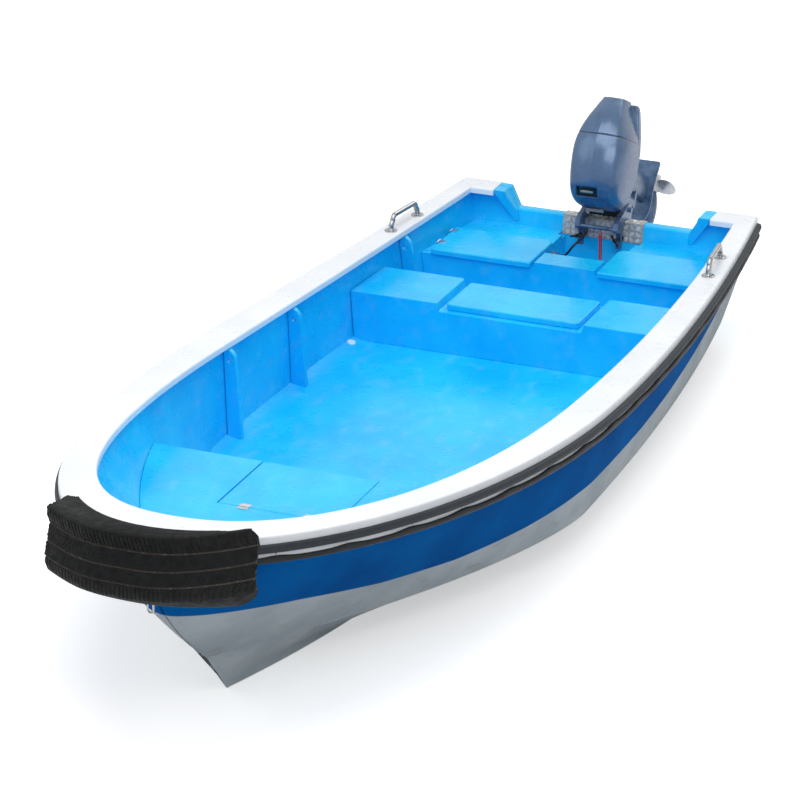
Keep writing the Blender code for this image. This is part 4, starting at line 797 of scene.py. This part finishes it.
def rails():
    """Two rails on the coaming's flange.

    The rubber one's section is a sine raised to a power, with two long grooves. The thin one is drawn up
    by 7 mm at each screw, a third of a metre apart, and sags between them.
    """
    turn = np.linspace(0, math.pi, 25)
    bulge = 0.0217 * np.sin(turn) ** 0.55
    for groove in (0.36, 0.64):
        bulge = bulge - 0.0016 * np.exp(-(((1 - np.cos(turn)) / 2 - groove) / 0.045) ** 2)
    rubber = along_edge(-GAP - np.maximum(bulge, 0), 0.033 + 0.036 * (1 - np.cos(turn)) / 2)
    stands_for(loft("rubber_rail", rubber, RAIL_RUBBER, sharp=50), "rubbing_rail")
    run = edge_length()[:, None]
    lift = 0.007 * np.abs(np.cos(math.pi * run / 0.33)) ** 5
    turn = np.linspace(0, math.pi * 0.80, 12)
    out = -GAP - 0.0137 * np.sin(turn) ** 0.6
    down = 0.088 + 0.024 * (1 - np.cos(turn)) / 2
    down = down - lift * (0.5 + 0.5 * np.cos(turn))
    shape = (len(run), 3)
    foot = np.broadcast_to((0.010, 0.010, -GAP), shape)
    inboard = np.concatenate([np.broadcast_to(out, (len(run), 12)), foot], axis=1)
    depth = np.concatenate([down, np.broadcast_to((0.112, 0.0983, 0.0983), shape)], axis=1)
    stands_for(loft("thin_rail", along_edge(inboard, depth), BLACK_RUBBER, sharp=50), "lower_rail")
    length = edge_length()
    at = stations(Y_STERN, 130, 170)
    seats, normals = [], []
    for reach in np.arange(0.33, length[-1] - 0.25, 0.33):
        station = int(np.searchsorted(length, reach))
        one = one_station(at, station)
        seat = sheer_points(-0.0003, 0.0755, one)[0, 0]
        out = coaming_width(one)[1][0]
        seats += [seat, seat * (-1, 1, 1)]
        normals += [out, out * (-1, 1, 1)]
    screws = mesh_piece("rail_screws", *domes(seats, normals, 0.0045, 0.0022), STAINLESS, "boat")


# The tyre fender

def tyre_fender():
    """Tyre: a section carried round the bow, sunk in grooves and between tread blocks.

    The section is a smooth curve through measured points, moved out and up by a cubic of the turn. Its
    depth below the tread is the deepest of the long grooves across the section and of the slanting gaps
    between blocks along it. Its ends are ragged: the turn at either end is a sum of sines across the
    section. The inside is the outside less the wall, laid flat on the coaming.
    """
    section = np.array(((-0.078, 0.017), (-0.040, 0.024), (0.000, 0.029), (0.040, 0.031), (0.064, 0.027),
                        (0.074, 0.014), (0.071, -0.015), (0.065, -0.045), (0.073, -0.080), (0.085, -0.113),
                        (0.098, -0.148), (0.104, -0.178), (0.099, -0.208), (0.082, -0.236), (0.044, -0.260),
                        (-0.004, -0.278), (-0.034, -0.284)))
    count = 200
    line = smooth_curve(np.column_stack([section, np.zeros(len(section))]), count)[:, :2]
    step = np.linalg.norm(np.diff(line, axis=0), axis=1)
    across = np.concatenate([[0], np.cumsum(step)])
    run = unit(np.gradient(line, axis=0))
    normal = np.column_stack([-run[:, 1], run[:, 0]])
    if normal[count // 2, 0] < 0:
        normal = -normal
    lap = np.clip(1 - across / 0.178, 0, 1)
    ragged = 0.0026 * np.sin(across * 160) + 0.0018 * np.sin(across * 390 + 1)
    first = -0.408 + ragged - 0.020 * np.exp(-((across - 0.06) / 0.02) ** 2)
    under = np.clip((across - across[-1] + 0.125) / 0.125, 0, 1)
    last = 0.440 - 0.165 * lap ** 1.3 - 0.110 * under ** 1.6 + ragged[::-1]
    first = first + 0.060 * under ** 1.6
    u = first + (last - first) * np.linspace(0, 1, 330)[:, None]
    outer, inboard = sheer_frame(u)
    centres = [float(across[np.argmin(np.hypot(line[:, 0] - out, line[:, 1] - up))])
               for out, up in ((0.065, -0.045), (0.085, -0.113), (0.102, -0.172))]
    low = float(across[np.argmin(np.hypot(line[:, 0] - 0.082, line[:, 1] + 0.236))])
    high = float(across[np.argmin(np.hypot(line[:, 0] - 0.070, line[:, 1] - 0.020))])
    depth = np.zeros_like(u)
    for centre in centres:
        off = np.abs(across[None] - centre)
        depth = np.maximum(depth, 0.0070 * np.clip(1.6 - off / 0.0030, 0, 1))
    slant = u * 1.85 / 0.034 + np.abs(across - centres[1])[None] * 11
    gap = np.clip(1.6 - np.abs(slant % 1.0 - 0.5) / 0.055, 0, 1)
    blocks = (across > high) & (across < centres[0] - 0.004)
    blocks = blocks | ((across > centres[2] + 0.004) & (across < low))
    depth = np.maximum(depth, 0.0055 * gap * blocks[None])
    sipe = u * 1.85 / 0.017 + np.sign(across - centres[1])[None] * across[None] * 26
    thin = np.clip(1.5 - np.abs(sipe % 1.0 - 0.5) / 0.05, 0, 1)
    upper, lower = (np.abs(across - (centres[k] + centres[k + 1]) / 2) for k in (0, 1))
    middle = (upper < 0.024) | (lower < 0.021)
    depth = np.maximum(depth, 0.0030 * thin * middle[None])
    ridges = np.where(across < high - 0.012, 0.0011 * np.cos(across * 2 * math.pi / 0.0125), 0.0)
    depth = depth - ridges[None]
    shift_out = 0.0039 - 0.0222 * u + 0.1965 * u ** 2 - 0.2772 * u ** 3 - 0.021 * np.exp(-(u / 0.13) ** 2)
    shift_up = -0.0072 + 0.030 * u + 0.1524 * u ** 2
    drop = np.clip((line[:, 0] + 0.02) / 0.09, 0, 1)
    thick = 0.013
    out = line[:, 0] - normal[:, 0] * depth + shift_out * drop
    up = line[:, 1] - normal[:, 1] * depth + np.maximum(shift_up, -0.006) * drop
    inner_out = line[:, 0] - normal[:, 0] * thick + shift_out * drop
    inner_up = line[:, 1] - normal[:, 1] * thick + np.maximum(shift_up, -0.006) * drop
    inner_up = np.where((inner_up > -0.02) & (inner_out < 0.004), 0.0008, inner_up)
    height = np.array((0, 0, 1.0))
    shell = [outer - inboard * o[..., None] + height * h[..., None]
             for o, h in ((out, up), (inner_out, inner_up))]
    shell[0][..., 1] = np.maximum(shell[0][..., 1], -2.7672)
    coarse = np.unique(np.linspace(0, count - 1, 30).round().astype(int))[::-1]
    loops = np.concatenate([shell[0], shell[1][:, coarse]], axis=1)
    sunk = np.concatenate([np.clip(depth / 0.0060, 0, 1), np.zeros((len(u), len(coarse)))], axis=1)
    stands_for(loft("tyre_tread", loops, TYRE_RUBBER, sharp=40, marks={"sunk": sunk}), "tyre_fender")


# Fittings

def handles():
    """Grab handles: a bent tube on two turned rosettes, each with three screws."""
    rosette = ((0.031, -0.001), (0.031, 0.0018), (0.030, 0.0030), (0.028, 0.0036), (0.0145, 0.0042),
               (0.0125, 0.0080), (0.0110, 0.0110))
    for name, side in (("port", 1.0), ("starboard", -1.0)):
        feet = []
        for y in (1.600, 1.858):
            point = sheer_points(0.068, 0.0, (np.array((y,)), np.zeros(0)))[0, 0]
            feet.append(point * (side, 1, 1) + (0, 0, 0.0011))
        along = unit(feet[1] - feet[0])
        up = unit(np.cross((1.0, 0, 0), along))
        turn = np.linspace(0, math.pi / 2, 12)[:, None]
        inward, rise = 0.016 + 0.026 * (1 - np.cos(turn)), 0.068 - 0.026 * (1 - np.sin(turn))
        bends = [foot + toward * inward + up * rise for foot, toward in ((feet[0], along), (feet[1], -along))]
        line = np.concatenate([[feet[0] + up * 0.001, feet[0] + up * 0.028 + along * 0.004], bends[0],
                               bends[1][::-1], [feet[1] + up * 0.028 - along * 0.004, feet[1] + up * 0.001]])
        parts = [tube_mesh(smooth_curve(line, 90), 0.0125, 20)]
        seats = []
        for foot in feet:
            parts.append(turned_form(foot, along, np.cross(up, along), rosette, 36))
            seats += [foot + up * 0.0034 + 0.0225 * (math.cos(t) * along + math.sin(t) * np.cross(up, along))
                      for t in (0.5, 2.6, 4.7)]
        parts.append(domes(np.array(seats), np.broadcast_to(up, (6, 3)), 0.0038, 0.0018))
        stands_for(mesh_piece(f"handle_{name}", *joined(parts), STAINLESS, "boat"), f"grab_handle_{name}")


def chequer_bars():
    """Raised bars of the chequer plate: fives of slim bars, turned a right angle from cell to cell."""
    cell = 0.030
    face = Y_STERN - TRANSOM_T - GAP
    slope = math.tan(TRANSOM_RAKE)
    bars = []
    for row in range(5):
        for col in range(13):
            middle = np.array(((col - 6) * cell, (row + 0.5) * cell - 0.0015))
            turn = math.pi / 4 if (row + col) % 2 else -math.pi / 4
            toward = np.array((math.cos(turn), math.sin(turn)))
            beside = np.array((-toward[1], toward[0]))
            for k in range(-2, 3):
                reach = 0.011 - 0.0022 * abs(k)
                centre = middle + beside * k * 0.0052
                corners = [(-reach, 0), (-reach * 0.6, -0.0013), (reach * 0.6, -0.0013), (reach, 0),
                           (reach * 0.6, 0.0013), (-reach * 0.6, 0.0013)]
                low = np.array([centre + toward * a + beside * b for a, b in corners])
                high = np.array([centre + toward * a * 0.85 + beside * b * 0.5 for a, b in corners])
                bars.append(np.stack([low, high]))
    bars = np.array(bars)                       # bar, level, corner, (x, along)
    rise = np.array((-0.0003, 0.0016))[None, :, None]
    along = bars[..., 1] - PLATE_FOLD
    folded = along > 0
    y = np.where(folded, face - 0.003 + along, face - 0.003 - rise)
    z = PLATE_Z + GAP + 0.003 + np.where(folded, rise, along)
    keep = (along.max(axis=(1, 2)) < -0.001) | (along.min(axis=(1, 2)) > 0.001)
    keep &= (y.max(axis=(1, 2)) < Y_STERN) & (z.min(axis=(1, 2)) > PLATE_Z - 0.090)
    points = as_points(bars[..., 0], y - (SHEER[0] - z) * slope, z)[keep]
    parts = joined([(bar, grid_faces(2, 6)) for bar in points])
    mesh_piece("chequer_bars", *parts, WORN_ALUMINIUM, "boat", smooth=False)


def hinge_screws():
    """Two screws on each hinge's fixed leaf."""
    seats = []
    for name in LID_HINGES:
        low, high = box_of(name)
        x = high[0] - 0.006 if low[0] > 0 else low[0] + 0.006
        seats += [(x, low[1] + 0.012, low[2] + 0.0020), (x, high[1] - 0.012, low[2] + 0.0020)]
    for name in HATCH_HINGES:
        low, high = box_of(name)
        seats += [(x, low[1] + 0.009, low[2] + 0.0020) for x in (low[0] + 0.012, high[0] - 0.012)]
    heads = domes(seats, np.broadcast_to((0, 0, 1.0), (len(seats), 3)), 0.0032, 0.0014)
    mesh_piece("hinge_screws", *heads, STAINLESS, "boat")


def small_plate(low, high):
    """A thin plate between two corners, with its upper edges drawn in by a third of its thickness."""
    inset = (high[2] - low[2]) * 0.35
    rings = []
    for z, d in ((low[2], 0.0), (high[2] - inset, 0.0), (high[2], inset)):
        left, right, near, far = low[0] + d, high[0] - d, low[1] + d, high[1] - d
        rings.append([(left, near, z), (right, near, z), (right, far, z), (left, far, z)])
    return rings, grid_faces(3, 4)


def moving_leaves():
    """The hinges' other leaves, on the hatch and the aft lids, each with two screws."""
    thick = 0.0016
    for body, hinges in (("forward_hatch", HATCH_HINGES), ("aft_lid_port", LID_HINGES[:2]),
                         ("aft_lid_starboard", LID_HINGES[2:])):
        lid_low, lid_high = box_of(body)
        z = lid_high[2]
        parts, seats = [], []
        for hinge in hinges:
            low, high = box_of(hinge)
            if body == "forward_hatch":
                front = lid_low[1]
                leaf = ((low[0], front + 0.004, z), (high[0], front + 0.026, z + thick))
                seats += [(x, front + 0.017, z + thick) for x in (low[0] + 0.012, high[0] - 0.012)]
            else:
                edge, side = (lid_high[0], 1) if body == "aft_lid_port" else (lid_low[0], -1)
                inner, outer = sorted((edge - side * 0.030, edge - side * 0.004))
                leaf = ((inner, low[1], z), (outer, high[1], z + thick))
                seats += [(edge - side * 0.020, y, z + thick) for y in (low[1] + 0.012, high[1] - 0.012)]
            parts.append(small_plate(*leaf))
        parts.append(domes(seats, np.broadcast_to((0, 0, 1.0), (len(seats), 3)), 0.0032, 0.0012))
        mesh_piece(f"{body}_leaves", *joined(parts), BRIGHT_STEEL, body, sharp=20)


def drain():
    """Drain fitting: a turned flange with a slotted plug, tipped to lie on the cove."""
    low, high = box_of("drain_plug")
    centre = np.array(((low[0] + high[0]) / 2, (low[1] + high[1]) / 2, low[2] + 0.0088))
    across = np.array((0, 1.0, 0))
    other = unit(np.cross((0.20, 0.0, 1.0), across))
    profile = ((0.020, -0.006), (0.020, 0.0030), (0.0188, 0.0046), (0.0150, 0.0050), (0.0128, 0.0044),
               (0.0120, 0.0020), (0.0100, 0.0034), (0.0040, 0.0040), (0.0006, 0.0040))
    form = turned_form(centre, across, other, profile, 40)
    stands_for(mesh_piece("drain", *form, WHITE_GELCOAT, "boat", sharp=40), "drain_plug")


def shackle():
    """Shackle hanging in the bow eye: a U of round bar, its legs closed by a pin."""
    low, high = box_of("bow_eye")
    top = np.array((0.0, low[1] + 0.016, (low[2] + high[2]) / 2 - 0.004))
    turn = np.linspace(0, math.pi, 17)
    half = 0.012
    bend = np.column_stack([np.cos(turn) * half, np.zeros(17), -0.052 - np.sin(turn) * half])
    leg = np.array([(half, 0, -0.004), (half, 0, -0.020), (half, 0, -0.036)])
    legs = np.concatenate([leg, bend, leg[::-1] * (-1, 1, 1)])
    pin = np.array([(-half - 0.008, 0, 0), (0, 0, 0), (half + 0.008, 0, 0)])
    parts = [tube_mesh(smooth_curve(top + legs, 60), 0.0040, 12), tube_mesh(top + pin, 0.0045, 12)]
    mesh_piece("bow_shackle", *joined(parts), STAINLESS, "boat")


def apron():
    """Black apron under the lower cowl's front: a rounded box section across the motor."""
    turn = np.linspace(0, 2 * math.pi, 28, endpoint=False)
    a = -0.031 + 0.018 * np.sign(np.cos(turn)) * np.abs(np.cos(turn)) ** 0.5
    u = 0.044 + 0.015 * np.sign(np.sin(turn)) * np.abs(np.sin(turn)) ** 0.5
    x = np.linspace(-0.072, 0.072, 25)
    sections = motor_point(x[:, None], a[None] - 0.002 * np.cos(x * 260)[:, None], u[None])
    loft("front_apron", sections, BLACK_PLASTIC, "motor_tilting")


# The motor

# Rows of the cowl: place aft, half width and height of the crown in the motor's frame
COWL_PLAN = np.array((
    (-0.034, 0.080, 0.235), (-0.018, 0.112, 0.278), (0.020, 0.134, 0.320), (0.080, 0.144, 0.348),
    (0.170, 0.150, 0.364), (0.250, 0.150, 0.362), (0.320, 0.137, 0.346), (0.388, 0.112, 0.316),
    (0.452, 0.085, 0.270), (0.506, 0.064, 0.222)))
COWL_LOW = 0.1255


def cowl():
    """Top cowl: a section carried aft, its width and height on smooth curves.

    The section is one smooth curve through points given as shares of the half width and of the height,
    with a tight bend where the crown's flat meets the side, and the sides lean in by a tenth. A groove
    runs across where the back part meets the front, and the starter's recess is a box-shaped dent with
    soft walls in the front of the crown.
    """
    plan = smooth_curve(COWL_PLAN, 150)
    extra = np.linspace(0.296, 0.314, 15)
    a = np.unique(np.concatenate([plan[:, 0], extra]))
    half = np.interp(a, plan[:, 0], plan[:, 1])[:, None] - 0.001
    top = np.interp(a, plan[:, 0], plan[:, 2])[:, None]
    corner = smooth_curve([(1.0, 0.35, 0), (0.985, 0.50, 0), (0.95, 0.66, 0), (0.875, 0.815, 0),
                           (0.800, 0.880, 0), (0.62, 0.930, 0), (0.33, 0.980, 0), (0.0, 1.0, 0)], 56)
    x = np.concatenate([-corner[:, 0], corner[-2::-1, 0]]) * half
    rise = np.concatenate([corner[:, 1], corner[-2::-1, 1]])
    u = COWL_LOW + (top - COWL_LOW) * rise
    x = x * (1 - 0.10 * rise)
    groove = 0.0035 * np.exp(-((a[:, None] - 0.305) / 0.0028) ** 2)
    x = x * (1 - groove / half * (rise < 0.9))
    u = u - groove * (rise > 0.5)

    def soft(value, low, high):
        return np.clip((value - low) / 0.005, 0, 1) * np.clip((high - value) / 0.005, 0, 1)
    dent = soft(x, -0.074, 0.038) * soft(np.broadcast_to(a[:, None], x.shape), 0.000, 0.046) * (rise > 0.8)
    u = u - 0.016 * dent
    x = np.concatenate([-half, x, half], axis=1)
    u = np.concatenate([np.full_like(half, COWL_LOW), u, np.full_like(half, COWL_LOW)], axis=1)
    sections = motor_point(x, a[:, None], u)
    # The dent's and the groove's depths are kept as a mark that the enamel paints as shade
    recess_shade = np.pad(np.maximum(dent, groove / 0.0035), ((0, 0), (1, 1)))
    piece = loft("cowl", sections, COWL_ENAMEL, "motor_steering", sharp=60, marks={"recess_shade": recess_shade})
    rounded(piece, 0.007, 55)
    stands_for(piece, "top_cowl")
    bar = motor_point(np.linspace(-0.050, 0.014, 9), 0.022, 0.3085)
    radius = 0.0065 * np.array((0.6, 0.95, 1, 1, 1, 1, 1, 0.95, 0.6))
    grip = mesh_piece("recess_grip", *tube_mesh(bar, radius, 14), GREY_PLASTIC, "motor_steering")


for build in (hull_shell, cockpit_shell, coaming_cap, rails, tyre_fender, handles, chequer_bars, hinge_screws,
              moving_leaves, drain, shackle, cowl, apron):
    build()
for node, rounding in (("transom", 0.009), ("knee_port", 0.007), ("knee_starboard", 0.007),
                       ("mid_thwart", 0.011), ("aft_bench", 0.011), ("forward_locker", 0.006),
                       *((rib, 0.009) for rib in RIBS), ("clamp_bracket", 0.0025)):
    refined(node, "boat", rounding)
for node, body, rounding in (("forward_hatch", "forward_hatch", 0.005), ("mid_lid", "mid_lid", 0.008),
                             ("aft_lid_port", "aft_lid_port", 0.006),
                             ("aft_lid_starboard", "aft_lid_starboard", 0.006),
                             ("swivel_bracket", "motor_tilting", 0.0025),
                             ("mid_section", "motor_steering", 0.003),
                             ("gearcase", "motor_steering", 0.002), ("lower_cowl", "motor_steering", 0.007),
                             ("propeller", "propeller", 0.0008)):
    refined(node, body, rounding)


# The studio

# Lamps: name, place, point aimed at, size and power
LAMPS = (("overhead", (0.5, -1.5, 9.0), (0, 0, 0.4), 7.0, 370),
         ("key", (4.5, -6.0, 7.5), (0, 0, 0.4), 5.0, 220),
         ("fill", (-6.0, -3.0, 6.0), (0, 0, 0.4), 6.0, 110),
         ("back", (1.0, 8.0, 6.0), (0, 1, 0.4), 5.0, 130))


def seen_rays(tree):
    """1 for rays of the camera, of a gloss and through clear matter, and 0 for diffuse light."""
    path = put(tree, "LightPath")
    seen = path.outputs["Is Camera Ray"]
    for kind in ("Is Glossy Ray", "Is Transmission Ray"):
        seen = put(tree, "Math", "MAXIMUM", i0=seen, i1=path.outputs[kind]).outputs[0]
    return seen


def studio():
    """Pale floor under soft light. The world and the floor look white to the camera."""
    scene = bpy.context.scene
    scene.view_settings.view_transform = "Standard"
    world = bpy.data.worlds.new("studio")
    scene.world = world
    world.use_nodes = True
    tree = world.node_tree
    tree.nodes.clear()
    soft = put(tree, "Background", Color=(0.97, 0.985, 1.0, 1), Strength=0.40)
    white = put(tree, "Background", Color=(1, 1, 1, 1), Strength=1.0)
    mix = put(tree, "MixShader", i0=seen_rays(tree), i1=soft.outputs[0], i2=white.outputs[0])
    put(tree, "OutputWorld", Surface=mix.outputs[0])

    floor = bpy.data.meshes.new("floor")
    size, z = 40, -0.002
    corners = [(-size, -size, z), (size, -size, z), (size, size, z), (-size, size, z)]
    floor.from_pydata(corners, [], [(0, 1, 2, 3)])
    made, tree, shader = new_material("pale_floor", Roughness=0.9, Specular_IOR_Level=0.0)
    seen = seen_rays(tree)
    tree.links.new(blend_colours(tree, seen, "B4B6B8", "FFFFFF"), shader.inputs["Base Color"])
    shader.inputs["Emission Color"].default_value = (1, 1, 1, 1)
    glow = put(tree, "Math", "MULTIPLY", i0=seen, i1=0.46).outputs[0]
    tree.links.new(glow, shader.inputs["Emission Strength"])
    floor.materials.append(made)
    link_object("floor", floor)

    for name, where, aim, size, power in LAMPS:
        light = bpy.data.lights.new(name, "AREA")
        light.shape = "DISK"
        light.size = size
        light.energy = power
        toward = unit(np.array(where, float) - np.array(aim, float))
        side = unit(np.cross((0, 0, 1.0), toward))
        link_object(name, light).matrix_world = placed(side, np.cross(toward, side), toward, where)


studio()
